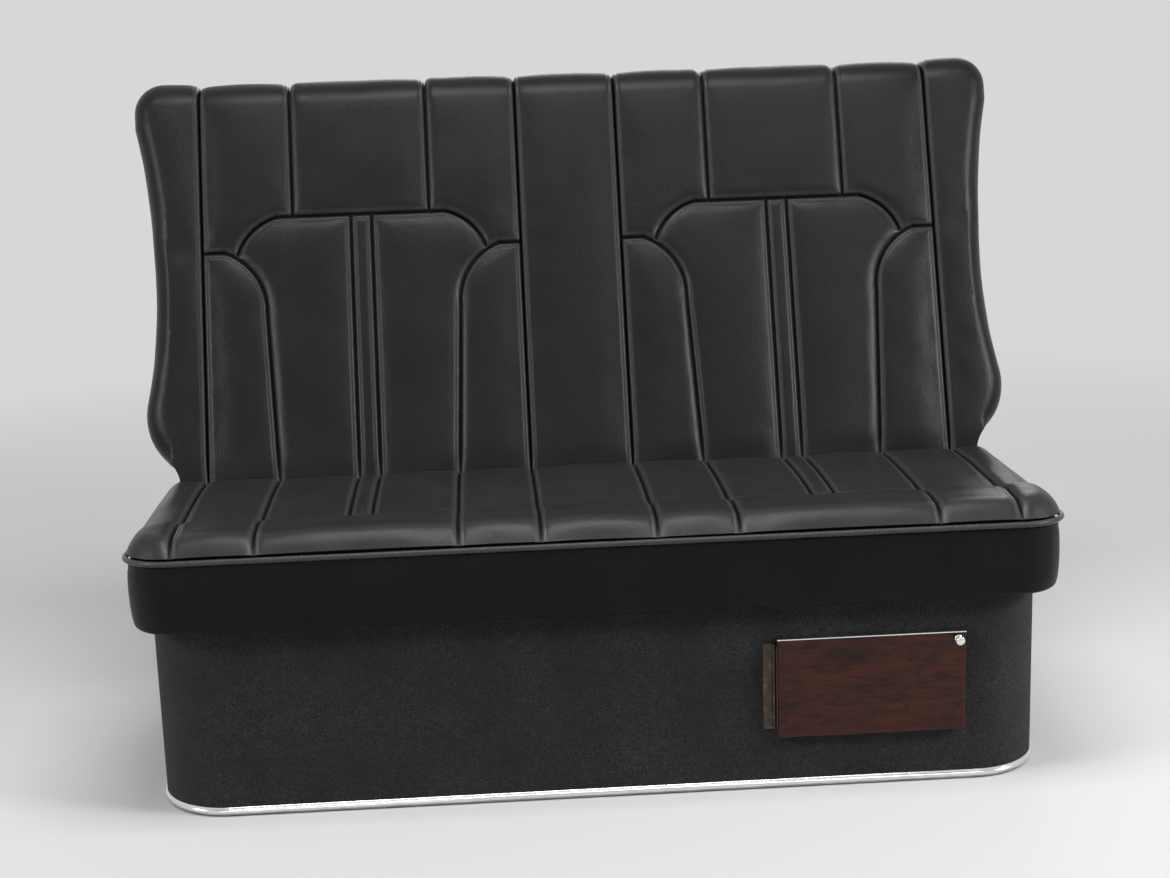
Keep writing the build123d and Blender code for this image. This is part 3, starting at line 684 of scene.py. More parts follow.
@dataclass(frozen=True)
class SewnSkin:
    """How far leather stands over its foam between the seams."""

    puff: float = 0.0074
    reach: float = 0.0140
    easy_share: float = 1.35
    crown: float = 0.0040
    crown_reach: float = 0.080
    groove: float = 0.0016
    groove_width: float = 0.0013
    lip_height: float = 0.0006
    lip_from: float = 0.0046
    lip_width: float = 0.0020
    stitch_from: float = 0.0080
    stitch_dip: float = 0.0010
    stitch_width: float = 0.0011
    brow: float = 0.0022
    brow_at: float = 0.009
    softening: float = 0.0020
    lip_softening: float = 0.0075
    crown_softening: float = 0.016
    sink: float = 0.0020

    def height(self, seams: Sequence[Seam], a: Array, b: Array) -> tuple[Array, Array]:
        """Height of the leather over the seams' own level.

        Args:
            seams: The seams of the piece.
            a: First coordinates of the points.
            b: Second coordinates of the points.

        Returns:
            The heights, and the distance of each point from the nearest seam.
        """
        distances, sides, past = (np.stack(part) for part in zip(*(seam.near(a, b) for seam in seams)))
        exact = distances.min(0)
        weights = np.exp((exact - distances) / self.softening)
        lips = np.reshape([seam.lip for seam in seams], (-1, *(1,) * np.ndim(a)))
        claims = np.exp((exact - distances - past) / self.lip_softening)
        raised = (claims * ((lips == 0) | (lips == sides))).sum(0) / claims.sum(0)
        soft = np.clip(exact - self.softening * np.log(weights.sum(0)), 0.0, None)
        reach = self.reach * (raised + (1 - raised) * self.easy_share)
        near = 1 - np.clip(soft / reach, 0.0, 1.0)
        wide = np.exp((exact - distances) / self.crown_softening).sum(0)
        wide = np.clip(exact - self.crown_softening * np.log(wide), 0.0, None)
        far = 1 - np.clip(wide / self.crown_reach, 0.0, 1.0)
        height = self.puff * np.sqrt(1 - near ** 2.2) + self.crown * (1 - far ** 2)
        height -= self.groove * np.exp(-((exact / self.groove_width) ** 2))
        height += raised * self.lip_height * np.exp(-(((exact - self.lip_from) / self.lip_width) ** 2))
        dip = np.exp(-(((exact - self.stitch_from) / self.stitch_width) ** 2))
        height -= raised * self.stitch_dip * dip
        brow = soft / self.brow_at
        height += (1 - raised) * self.brow * brow * np.exp(1 - brow)
        return height - self.sink, exact


def border(rows: int, columns: int) -> Array:
    """Indices of a grid's edge, round from its first point by the first row."""
    grid = np.arange(rows * columns).reshape(rows, columns)
    return np.concatenate([grid[0, :], grid[1:, -1], grid[-1, -2::-1], grid[-2:0:-1, 0]])


def new_object(name: str, points: Array, faces: list, mirrored: bool = False) -> Piece:
    """A smooth mesh object in the scene.

    Args:
        name: The piece's name.
        points: Its vertices.
        faces: Its faces, as lists of vertex numbers.
        mirrored: Whether to build it in the mirror of X.

    Returns:
        The object.
    """
    if mirrored:
        points = points * np.array([-1.0, 1.0, 1.0])
        faces = [face[::-1] for face in faces]
    mesh = bpy.data.meshes.new(name)
    mesh.from_pydata(points.tolist(), [], faces)
    mesh.polygons.foreach_set("use_smooth", np.ones(len(mesh.polygons), bool))
    mesh.update()
    piece = bpy.data.objects.new(name, mesh)
    bpy.context.scene.collection.objects.link(piece)
    return piece


def grid_faces(rows: int, columns: int, start: int = 0, closed: bool = False) -> list:
    """Quads of a grid of points, counter-clockwise from the first row.

    Args:
        rows: Rows of points.
        columns: Points in a row.
        start: Number of the first point.
        closed: Whether each row runs back to its own start.

    Returns:
        The quads.
    """
    j = np.arange(rows - 1)[:, None]
    i = np.arange(columns if closed else columns - 1)[None]
    after = (i + 1) % columns
    low, high = start + j * columns, start + (j + 1) * columns
    quads = np.stack(np.broadcast_arrays(low + i, low + after, high + after, high + i), -1)
    return quads.reshape(-1, 4).tolist()


def closed_shell(name: str, front: Array, rings: Sequence[Array], mirrored: bool = False) -> Piece:
    """A closed form: a front grid, rings that run back from its edge, and a flat back.

    Args:
        name: The piece's name.
        front: The front's points, row by row.
        rings: Points of each ring, in the order of border().
        mirrored: Whether to build it in the mirror of X.

    Returns:
        The object.
    """
    rows, columns = front.shape[:2]
    loop = border(rows, columns)
    count = len(loop)
    points = np.concatenate([front.reshape(-1, 3), *rings])
    faces = grid_faces(rows, columns)
    numbers = [loop, *(rows * columns + k * count + np.arange(count) for k in range(len(rings)))]
    for outer, inner in zip(numbers[:-1], numbers[1:]):
        after_out, after_in = np.roll(outer, -1), np.roll(inner, -1)
        faces += np.stack([outer, inner, after_in, after_out], -1).tolist()
    last = numbers[-1].tolist()
    right = last[columns - 1:columns + rows - 1]
    left = last[:1] + last[2 * columns + rows - 3:][::-1]
    top = last[columns + rows - 2:2 * columns + rows - 2]
    faces.append([left[1], right[1], *last[:columns][::-1]])
    for j in range(1, rows - 2):
        faces.append([left[j], left[j + 1], right[j + 1], right[j]])
    faces.append([right[-2], left[-2], *top[::-1]])
    return new_object(name, points, faces, mirrored)


def swept(name: str, sections: Array, anticlockwise: bool = True) -> Piece:
    """A closed section swept along a way, closed at both ends.

    Args:
        name: The piece's name.
        sections: Points of the section at each stop.
        anticlockwise: Whether each section's points run so as seen along the way.

    Returns:
        The object.
    """
    stops, count = sections.shape[:2]
    faces = grid_faces(stops, count, closed=True)
    faces += [list(range(count))[::-1], list(range((stops - 1) * count, stops * count))]
    if anticlockwise:
        faces = [face[::-1] for face in faces]
    return new_object(name, sections.reshape(-1, 3), faces)


def turned_faces(rings: int, sides: int) -> list:
    """Faces of a turned form, whose two poles come first and then its rings of points."""
    last = 2 + (rings - 1) * sides
    after = [(i + 1) % sides for i in range(sides)]
    faces = [[0, 2 + i, 2 + after[i]] for i in range(sides)]
    faces += [quad[::-1] for quad in grid_faces(rings, sides, 2, True)]
    return faces + [[1, last + after[i], last + i] for i in range(sides)]


def tube(name: str, path: Array, radius: float, sides: int, wobble: float) -> Piece:
    """A round cord along a path, closed at both ends.

    Args:
        name: The piece's name.
        path: Points of its centre line.
        radius: Its radius.
        sides: Points round it.
        wobble: Share by which its radius wanders.

    Returns:
        The object.
    """
    way = unit(np.gradient(path, axis=0))
    right = unit(np.cross(way, (0.0, 0.0, 1.0)))
    over = np.cross(right, way)
    angle = np.linspace(0, math.tau, sides, endpoint=False)[None, :, None]
    swell = 1 + wobble * waves(path, 90.0, 3)
    spokes = np.cos(angle) * right[:, None] + np.sin(angle) * over[:, None]
    return swept(name, path[:, None] + radius * swell[:, None, None] * spokes)


def lengths(line: Array) -> Array:
    """Distances along a line of points in two coordinates, from its first point."""
    return np.concatenate([[0.0], np.cumsum(np.hypot(*np.diff(line, axis=0).T))])


def keep_seam(piece: Piece, distance: Optional[Array] = None, fill: float = NO_SEAM) -> None:
    """Keep each point's distance from its nearest seam, with fill at the points after the given ones."""
    whole = np.full(len(piece.data.vertices), fill, np.float32)
    if distance is not None:
        whole[:distance.size] = distance.ravel()
    piece.data.attributes.new("seam", "FLOAT", "POINT").data.foreach_set("value", whole)


def dress(piece: Piece, material: Material, body: Body = Body.BENCH) -> None:
    """Give a new piece its material and the body that it rides on."""
    piece.data.materials.clear()
    piece.data.materials.append(material)
    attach(piece, body.value)
    log.info("piece %s: %d faces", piece.name, len(piece.data.polygons))


def spline_weights(targets: Array, count: int) -> Array:
    """Weights that spread values at 0..count-1 to targets on a cubic B-spline."""
    weights = np.zeros((len(targets), count))
    base = np.clip(np.floor(targets).astype(int), 0, count - 2)
    t = targets - base
    parts = (
        (1 - t) ** 3 / 6,
        (3 * t ** 3 - 6 * t ** 2 + 4) / 6,
        (-3 * t ** 3 + 3 * t ** 2 + 3 * t + 1) / 6,
        t ** 3 / 6,
    )
    for shift, part in zip((-1, 0, 1, 2), parts):
        spot = np.clip(base + shift, 0, count - 1)
        np.add.at(weights, (np.arange(len(targets)), spot), part)
    return weights


@dataclass(frozen=True)
class BlownLeather:
    """A cloth simulation of leather drawn over foam, held down along its seams."""

    pressure: float = 5.0
    slack: float = 0.006
    cap: float = 0.0028
    frames: int = 20
    held_within: float = 0.007
    stiffness: float = 12.0
    bending: float = 8.0
    calming: int = 6

    def moves(self, name: str, points: Array, distance: Array) -> Array:
        """How far the leather moves from a coarse grid of points.

        Args:
            name: A name for the short-lived object.
            points: The grid's points.
            distance: Each point's distance from the nearest seam.
        """
        rows, columns = points.shape[:2]
        piece = new_object(name, points.reshape(-1, 3), grid_faces(rows, columns))
        held = 1 - step_between(distance, 0.0, self.held_within)
        held[0], held[-1], held[:, 0], held[:, -1] = 1, 1, 1, 1
        group = piece.vertex_groups.new(name="sewn")
        for number, weight in enumerate(held.ravel()):
            if weight > 0:
                group.add([number], float(weight), "REPLACE")
        cloth = piece.modifiers.new("Cloth", "CLOTH")
        settings = cloth.settings
        settings.quality = 4
        settings.mass = 0.4
        settings.air_damping = 2.0
        settings.tension_stiffness = self.stiffness
        settings.compression_stiffness = self.stiffness
        settings.shear_stiffness = self.stiffness / 2
        settings.bending_stiffness = self.bending
        settings.vertex_group_mass = "sewn"
        settings.use_pressure = True
        settings.uniform_pressure_force = self.pressure
        settings.shrink_min = -self.slack
        settings.effector_weights.gravity = 0.0
        cloth.collision_settings.use_collision = False
        cloth.point_cache.frame_start = 1
        cloth.point_cache.frame_end = self.frames
        scene = bpy.context.scene
        for frame in range(1, self.frames + 1):
            scene.frame_set(frame)
        result = piece.evaluated_get(bpy.context.evaluated_depsgraph_get()).data
        after = np.zeros(rows * columns * 3, np.float32)
        result.vertices.foreach_get("co", after)
        mesh = piece.data
        bpy.data.objects.remove(piece)
        bpy.data.meshes.remove(mesh)
        scene.frame_set(1)
        moved = after.reshape(rows, columns, 3) - points
        length = np.linalg.norm(moved, axis=-1, keepdims=True)
        moved *= np.minimum(1.0, self.cap / np.maximum(length, 1e-9))
        for _ in range(self.calming):
            ends = np.pad(moved, ((1, 1), (1, 1), (0, 0)), mode="edge")
            across = (ends[:, :-2] + 2 * ends[:, 1:-1] + ends[:, 2:]) / 4
            moved = (across[:-2] + 2 * across[1:-1] + across[2:]) / 4
        log.info("leather %s blown: mean %.4f, most %.4f", name, length.mean(), length.max())
        return moved


def spread(moves: Array, from_rows: Array, from_columns: Array, rows: Array, columns: Array) -> Array:
    """Spread a coarse grid's moves smoothly over a finer grid.

    Args:
        moves: The moves at the coarse grid's points.
        from_rows: The coarse grid's row values.
        from_columns: Its column values.
        rows: The fine grid's row values.
        columns: Its column values.

    Returns:
        The moves at the fine grid's points.
    """
    down = spline_weights(places_among(rows, from_rows), len(from_rows))
    along = spline_weights(places_among(columns, from_columns), len(from_columns))
    return np.einsum("rj,jic,ki->rkc", down, moves, along)


@dataclass
class LeatherFace:
    """A finished grid of leather that thread can be laid on."""

    points: Array
    rows: Array
    columns: Array
    turned: float = 1.0

    def look_up(self, row: Array, column: Array) -> tuple[Array, Array]:
        """Points of the face and its outward directions.

        Args:
            row: Row values to look up.
            column: Column values to look up.

        Returns:
            The points and the directions.
        """
        j = np.clip(places_among(row, self.rows), 0, len(self.rows) - 1.001)
        i = np.clip(places_among(column, self.columns), 0, len(self.columns) - 1.001)
        j0, i0 = j.astype(int), i.astype(int)
        v, u = (j - j0)[:, None], (i - i0)[:, None]
        a, b = self.points[j0, i0], self.points[j0, i0 + 1]
        c, d = self.points[j0 + 1, i0], self.points[j0 + 1, i0 + 1]
        spots = (a * (1 - u) + b * u) * (1 - v) + (c * (1 - u) + d * u) * v
        return spots, unit(self.turned * np.cross(b - a + d - c, c - a + d - b))


@dataclass(frozen=True)
class Bead:
    """A small rounded bar with pointed ends: one stitch, or one staple's crown."""

    length: float
    radius: float
    sides: int = 5

    def scatter(self, name: str, spots: Array, ways: Array, out: Array, lift: float) -> Piece:
        """Lay one bead at each spot.

        Args:
            name: Name of the piece that holds them all.
            spots: Their middles, on the surface.
            ways: The direction that each points in.
            out: The surface's outward direction at each.
            lift: How far the middles stand off the surface.

        Returns:
            The piece.
        """
        ways = unit(ways - (ways * out).sum(1, keepdims=True) * out)
        across = np.cross(out, ways)
        angle = np.linspace(0, math.tau, self.sides, endpoint=False)
        # share of the half length, share of the radius, sinking in radii
        rings = ((-0.72, 0.85, 0.45), (0.0, 1.0, 0.0), (0.72, 0.85, 0.45))
        shape = [(-1.0, 0.0, 0.9), *(ring for ring in rings for _ in angle), (1.0, 0.0, 0.9)]
        along, size, sink = np.array(shape).T
        turn = np.concatenate([[0.0], np.tile(angle, len(rings)), [0.0]])
        t = along * self.length / 2
        b = size * self.radius * np.cos(turn)
        n = size * self.radius * np.sin(turn) - sink * self.radius + lift
        points = (spots[:, None] + t[None, :, None] * ways[:, None] + b[None, :, None] * across[:, None]
                  + n[None, :, None] * out[:, None])
        k = self.sides
        faces = [[0, 1 + (i + 1) % k, 1 + i] for i in range(k)]
        faces += grid_faces(3, k, 1, True)
        faces += [[1 + 3 * k, 1 + 2 * k + i, 1 + 2 * k + (i + 1) % k] for i in range(k)]
        count = points.shape[1]
        whole = [[v + n * count for v in face] for n in range(len(spots)) for face in faces]
        return new_object(name, points.reshape(-1, 3), whole)


@dataclass(frozen=True)
class Stitching:
    """Rows of top-stitching beside seams."""

    aside: float = 0.0080
    pitch: float = 0.0044
    bead: Bead = Bead(0.0034, 0.00050)
    clear: float = 0.0055
    lift: float = 0.00025
    probe: float = 0.0008

    def lay(self, name: str, seams: Sequence[Seam], skin: SewnSkin, place: Any, keep: Any,
            thread: Material) -> None:
        """Stitch beside seams.

        Args:
            name: The piece's name.
            seams: The seams.
            skin: The leather that they are in.
            place: Turns two coordinates into points and outward directions.
            keep: Tells which coordinates lie on the piece.
            thread: The finish.
        """
        found = []
        for seam in seams:
            for side in (1, -1) if seam.lip == 0 else (seam.lip,):
                spots, way = seam.points(self.pitch, side * self.aside)
                _, distance = skin.height(seams, spots[:, 0], spots[:, 1])
                good = keep(spots[:, 0], spots[:, 1]) & (distance > self.clear)
                spots, way = spots[good], way[good]
                if len(spots) == 0:
                    continue
                middle, out = place(spots[:, 0], spots[:, 1])
                ahead, behind = (place(*(spots + shift * way).T)[0] for shift in (self.probe, -self.probe))
                found.append((middle, ahead - behind, out))
        spots, ways, out = (np.concatenate(parts) for parts in zip(*found))
        moved = np.linalg.norm(ways, axis=1) > self.probe / 2
        piece = self.bead.scatter(name, spots[moved], ways[moved], out[moved], self.lift)
        dress(piece, thread)


@dataclass(frozen=True)
class BackFrame:
    """The reclined back's coordinates: x across, s up its slope and n out to the sitter."""

    junction_y: float
    junction_z: float = 0.384
    recline: float = math.radians(21.33)

    def world(self, x: Array, s: Array, n: Array) -> Array:
        """Points in the row frame, from their three coordinates."""
        y = self.junction_y + s * math.sin(self.recline) - n * math.cos(self.recline)
        z = self.junction_z + s * math.cos(self.recline) + n * math.sin(self.recline)
        return np.stack(np.broadcast_arrays(x, y, z), -1)


@dataclass(frozen=True)
class Pattern:
    """Sewing pattern of one seat place: distance from its centre line, and height up the back."""

    centre: float = 0.344
    half: float = 0.261
    head: float = 0.112
    channel: float = 0.017
    panel_foot: float = 0.145
    knee: Point2 = (0.158, 0.290)
    wing_mid: Point2 = (0.176, 0.352)
    wing_top: Point2 = (0.225, 0.390)
    shoulder_foot: Point2 = (0.203, 0.386)
    shoulder_mid: Point2 = (0.181, 0.422)
    shoulder_top: Point2 = (0.138, 0.447)
    run_on: float = 0.3

    def seams(self, foot: float, top: float, middle: float) -> list[Seam]:
        """Seams of a place.

        Args:
            foot: Height at which the seams start.
            top: Height at which they end.
            middle: The place's centre line.

        Returns:
            The seams, in x and height.
        """
        found = []
        outboard = 1 if middle > 0 else -1
        for way in (-1, 1):
            def at(x: float, s: float, side: int = way) -> Point2:
                """The point on this side of the centre line."""
                return (middle + side * x, s)
            side_lip = -outboard
            found.append(Seam(at(self.half, foot), at(self.half, top), lip=way))
            bend = at(self.panel_foot, 0.0)
            found.append(Seam(at(self.panel_foot, foot), bend, lip=side_lip, ending=self.run_on))
            found.append(Seam(bend, at(*self.knee), lip=side_lip, ending=self.run_on))
            found.append(Seam(at(*self.knee), at(*self.wing_top), at(*self.wing_mid), -way, self.run_on))
            found.append(Seam(at(*self.wing_top), at(self.half, self.wing_top[1]), lip=-way))
            found.append(Seam(at(*self.shoulder_foot), at(*self.shoulder_top), at(*self.shoulder_mid), way))
            found.append(Seam(at(self.channel, foot), at(self.channel, self.shoulder_top[1]), lip=0))
            found.append(Seam(at(self.head, self.shoulder_top[1]), at(self.head, top), lip=side_lip))
        found.append(Seam((middle - self.shoulder_top[0], self.shoulder_top[1]),
                          (middle + self.shoulder_top[0], self.shoulder_top[1]), lip=-1))
        return found

    def marks(self) -> list[float]:
        """Distances from the centre line at which the seams run up the back."""
        right = [self.channel, self.head, self.panel_foot, self.half]
        return [-mark for mark in right[::-1]] + right

    def panel_side(self, s: Array) -> Array:
        """Distance of the panel's slanting side, and of the shoulder over it, at heights s."""
        wing = Seam(self.knee, self.wing_top, self.wing_mid).points(0.001)[0]
        shoulder = Seam(self.shoulder_foot, self.shoulder_top, self.shoulder_mid).points(0.001)[0]
        low = wing[wing[:, 1] < self.shoulder_foot[1] - 0.012]
        line = np.concatenate([[(self.panel_foot, -1.0), (self.panel_foot, 0.0), self.knee],
                               low, shoulder, [(self.panel_foot, self.shoulder_top[1] + 0.06)]])
        return np.interp(s, line[:, 1], line[:, 0])


@dataclass(frozen=True)
class Unevenness:
    """How leather strays from its drawn form: short pulls beside the seams and long shallow waves."""

    pull: float = 0.0002
    pull_scale: float = 42.0
    pull_at: float = 0.014
    pull_width: float = 0.012
    stretch: Point3 = (1.0, 0.35, 0.35)
    sag: float = 0.0005
    sag_scale: float = 6.0

    def height(self, points: Array, distance: Array, pull_seed: int, sag_seed: int) -> Array:
        """How far the leather stands out of its drawn form.

        Args:
            points: Points of the leather.
            distance: Their distance from the seams.
            pull_seed: Number of the pulls' pattern.
            sag_seed: Number of the waves' pattern.

        Returns:
            The heights.
        """
        pulls = waves(points * np.array(self.stretch), self.pull_scale, pull_seed)
        near = np.exp(-((distance - self.pull_at) / self.pull_width) ** 2)
        return self.pull * near * pulls + self.sag * waves(points, self.sag_scale, sag_seed)


@dataclass(kw_only=True)
class SewnCover:
    """A leather cover over foam, blown on a coarse grid and finished on a fine one."""

    skin: SewnSkin = SewnSkin()
    cloth: BlownLeather = BlownLeather()
    step: float = 0.0045
    coarse: float = 0.0075
    blown_share: float = 0.8
    held: Point2 = (0.002, 0.022)

    def surface(self, step: float, even: bool, share: float = 1.0) -> dict[str, Array]:
        """The cover's open side.

        Args:
            step: Distance between points away from the seams.
            even: Whether they are evenly spaced.
            share: Share of the full height over the seams.

        Returns:
            Its rows, columns and points, their distance from the seams, the share by which each is
            free to move, and what else the piece keeps of them.
        """
        raise NotImplementedError

    def blow(self, name: str) -> tuple[dict[str, Array], Array]:
        """Blow the coarse grid and move the fine one with it.

        Args:
            name: The piece's name.

        Returns:
            The fine surface, and its points as blown.
        """
        rough = self.surface(self.coarse, True, self.blown_share)
        moves = self.cloth.moves(name, rough["points"], rough["distance"])
        fine = self.surface(self.step, False)
        moved = spread(moves, rough["rows"], rough["columns"], fine["rows"], fine["columns"])
        loose = step_between(fine["distance"], *self.held) * fine["free"]
        return fine, fine["points"] + moved * loose[..., None]


@dataclass(kw_only=True)
class BackCover(SewnCover):
    """What the pads and the bolsters of the back share."""

    frame: BackFrame
    foot: float = -0.0765
    depth: float = 0.095
    roll: float = 0.040
    gap: float = 0.0003
    rings: int = 12
    crevice: Point2 = (-0.004, 0.055)
    crevice_share: float = 0.45
    freeing: Point2 = (-0.02, 0.01)

    def rising(self, s: Array) -> Array:
        """Share of the leather's height at s, less in the crevice behind the cushion."""
        return self.crevice_share + (1 - self.crevice_share) * step_between(s, *self.crevice)

    def shares(self) -> Array:
        """Shares of the depth at which rings run back from the front's edge."""
        return np.linspace(0, 1, self.rings)[1:]


@dataclass(kw_only=True)
class BackPad(BackCover):
    """One sewn pad of the backrest between its side seams."""

    name: str
    node: str
    x0: float
    x1: float
    seed: int
    pattern: Optional[Pattern] = None
    uneven: Unevenness = Unevenness()
    top: float = 0.677
    margin: float = 0.003
    top_margin: float = 0.0004

    @property
    def middle(self) -> float:
        """X of the pad's centre line."""
        return (self.x0 + self.x1) / 2

    def all_seams(self) -> list[Seam]:
        """The pad's seams in x and s, its two sides among them."""
        low, high = self.foot - 0.1, self.top + 0.2
        if self.pattern is None:
            return [Seam((x, low), (x, high), lip=0) for x in (self.x0, self.x1)]
        return self.pattern.seams(low, high, self.middle)

    def rows(self, step: float, even: bool) -> Array:
        """Heights of the grid's rows, closer together at cross seams and round the top roll."""
        marks = []
        if self.pattern is not None and not even:
            marks = [self.pattern.wing_top[1], self.pattern.shoulder_top[1]]
        bend = self.top - self.roll
        straight = spaced(self.foot, bend, marks, step) if marks else runs(self.foot, bend, step)
        angle = quarter((1.0 if even else 0.8) * step / self.roll)
        return np.concatenate([straight, self.top - self.roll * (1 - np.sin(angle))])

    def columns(self, step: float, even: bool) -> Array:
        """Distances of the grid's columns from the centre line, at the back's foot."""
        half = (self.x1 - self.x0) / 2 - self.gap
        if even:
            return runs(-half, half, step)
        marks = [-half, half] if self.pattern is None else self.pattern.marks()
        return spaced(-half, half, marks, step)

    def slanted(self, columns: Array, s: Array, back: bool = False) -> Array:
        """Let columns follow the panel's slanting sides at heights s, or undo it.

        Args:
            columns: Distances from the centre line.
            s: Heights, one for each column value.
            back: Whether to turn slanted distances into straight ones.

        Returns:
            The other distances.
        """
        if self.pattern is None:
            return columns
        straight = np.array(self.pattern.marks())
        moved = []
        for column, side in zip(columns, self.pattern.panel_side(s)):
            bent = straight.copy()
            bent[1], bent[-2] = -side, side
            moved.append(np.interp(column, bent, straight) if back else np.interp(column, straight, bent))
        return np.array(moved)

    def surface(self, step: float, even: bool, share: float = 1.0) -> dict[str, Array]:
        """The pad's front, with its coordinates x and s, its lean and its height."""
        rows, columns = self.rows(step, even), self.columns(step, even)
        x = np.stack([self.slanted(columns, np.full_like(columns, row)) for row in rows]) + self.middle
        s = np.repeat(rows[:, None], len(columns), 1)
        height, distance = self.skin.height(self.all_seams(), x, s)
        lean = np.arcsin(np.clip((self.roll - self.top + s) / self.roll, 0.0, 1.0))
        height = share * self.rising(s) * height
        level = -self.roll * (1 - np.cos(lean))
        points = self.frame.world(x, s + height * np.sin(lean), level + height * np.cos(lean))
        return dict(rows=rows, columns=columns, points=points, distance=distance,
                    free=step_between(s, *self.freeing), x=x, s=s, lean=lean, height=height)

    def build(self, finishes: Wardrobe) -> None:
        """Blow, sew, stitch and close the pad."""
        fine, front = self.blow(self.name)
        x, s, lean, height, distance = (fine[key] for key in ("x", "s", "lean", "height", "distance"))
        out = self.frame.world(0 * s, np.sin(lean), np.cos(lean)) - self.frame.world(0 * s, 0 * s, 0 * s)
        front = front + self.uneven.height(front, distance, self.seed, self.seed + 1)[..., None] * out
        loop = border(*x.shape)
        edge = front.reshape(-1, 3)[loop]
        ex, es, eh = (v.ravel()[loop] for v in (x, s, height))
        on_top = es > self.top - 1e-6
        rings = []
        for share in self.shares():
            level = -self.depth * share + (1 - share) * np.where(on_top, -self.roll, 0.0)
            rise = np.where(on_top, eh * (1 - 0.4 * share), 0.0)
            over = self.frame.world(ex, es + rise, level)
            plain = edge * (1 - share) + self.frame.world(ex, es, -self.depth + 0 * es) * share
            rings.append(np.where(on_top[:, None], over, plain))
        piece = closed_shell(self.name, front, rings)
        keep_seam(piece, distance)
        dress(piece, finishes.leather)
        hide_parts(self.node)
        self.stitch(LeatherFace(front, fine["rows"], fine["columns"]), finishes.thread)

    def stitch(self, face: LeatherFace, thread: Material) -> None:
        """Lay the top-stitching beside the pad's seams."""
        def place(x: Array, s: Array) -> tuple[Array, Array]:
            """Points of the face at x and s."""
            return face.look_up(s, self.slanted(x - self.middle, s, True))

        def keep(x: Array, s: Array) -> Array:
            """Whether x and s lie on the pad, over the cushion."""
            inside = (x > self.x0 + self.margin) & (x < self.x1 - self.margin)
            return inside & (s > 0.0) & (s < self.top - self.top_margin)

        Stitching().lay("thread_" + self.name, self.all_seams(), self.skin, place, keep, thread)


@dataclass(frozen=True)
class Outline:
    """Right edge of the backrest in x and s, made of arcs that run smoothly on."""

    half: float = 0.710
    top: float = 0.680
    corner: float = 0.045
    shoulder: float = 0.070
    waist: Point2 = (0.028, 0.350)
    bulge: Point2 = (0.011, 0.149)
    foot: Point2 = (0.060, 0.036)
    lean: float = 0.2
    foot_ease: float = 0.018

    @staticmethod
    def arc(start: Array, end: Array, way: Array, step: float) -> tuple[Array, Array]:
        """An arc that leaves start along way.

        Args:
            start: First point.
            end: Last point.
            way: Direction at start.
            step: Distance between points.

        Returns:
            The points after start, and the direction at the end.
        """
        way = way / np.hypot(*way)
        chord = end - start
        side = np.array([-way[1], way[0]])
        radius = chord @ chord / (2 * chord @ side)
        centre = start + radius * side
        turn = 2 * math.atan2(way[0] * chord[1] - way[1] * chord[0], way @ chord)
        angle = runs(0.0, turn, step / abs(radius))[1:]
        spoke = start - centre
        x = centre[0] + spoke[0] * np.cos(angle) - spoke[1] * np.sin(angle)
        s = centre[1] + spoke[0] * np.sin(angle) + spoke[1] * np.cos(angle)
        after = np.array([way[0] * math.cos(turn) - way[1] * math.sin(turn),
                          way[0] * math.sin(turn) + way[1] * math.cos(turn)])
        return np.stack([x, s], -1), after

    def line(self, inset: float, step: float, reach: float = 0.0) -> Array:
        """Points from the foot up the side, round the corner and in to reach."""
        edge = self.half - inset
        high = np.array([edge, self.top - self.shoulder])
        waist = np.array([edge - self.waist[0], self.waist[1]])
        bulge = np.array([edge - self.bulge[0], self.bulge[1]])
        foot = np.array([edge - self.foot[0], self.foot[1]])
        upper, way = self.arc(high, waist, np.array([-self.lean, -1.0]), step)
        middle, way = self.arc(waist, bulge, way, step)
        lower, way = self.arc(bulge, foot, way, step)
        down = np.concatenate([high[None], upper, middle, lower])[::-1]
        corner = self.corner - inset
        angle = runs(0.0, math.pi / 2, step / corner)
        top = self.top - inset
        turn = np.stack([edge - corner + corner * np.cos(angle), top - corner + corner * np.sin(angle)], -1)
        along = runs(edge - corner, reach, step)[1:]
        over = np.stack([along, np.full_like(along, top)], -1)
        return np.concatenate([down, turn, over])

    def edge_x(self, s: Array) -> Array:
        """The edge's x at heights s, eased where it turns down from the bulge."""
        line = self.line(0.0, 0.002, self.half - self.corner)
        line = line[:np.argmax(line[:, 1] >= self.top - 1e-9) + 1]
        shifts = runs(-self.foot_ease, self.foot_ease, 0.006)
        near = [np.interp(s + shift, line[:, 1], line[:, 0]) for shift in shifts]
        share = step_between(s, self.foot[1] + self.foot_ease, self.foot[1] + 3 * self.foot_ease)
        return share * np.interp(s, line[:, 1], line[:, 0]) + (1 - share) * np.mean(near, axis=0)


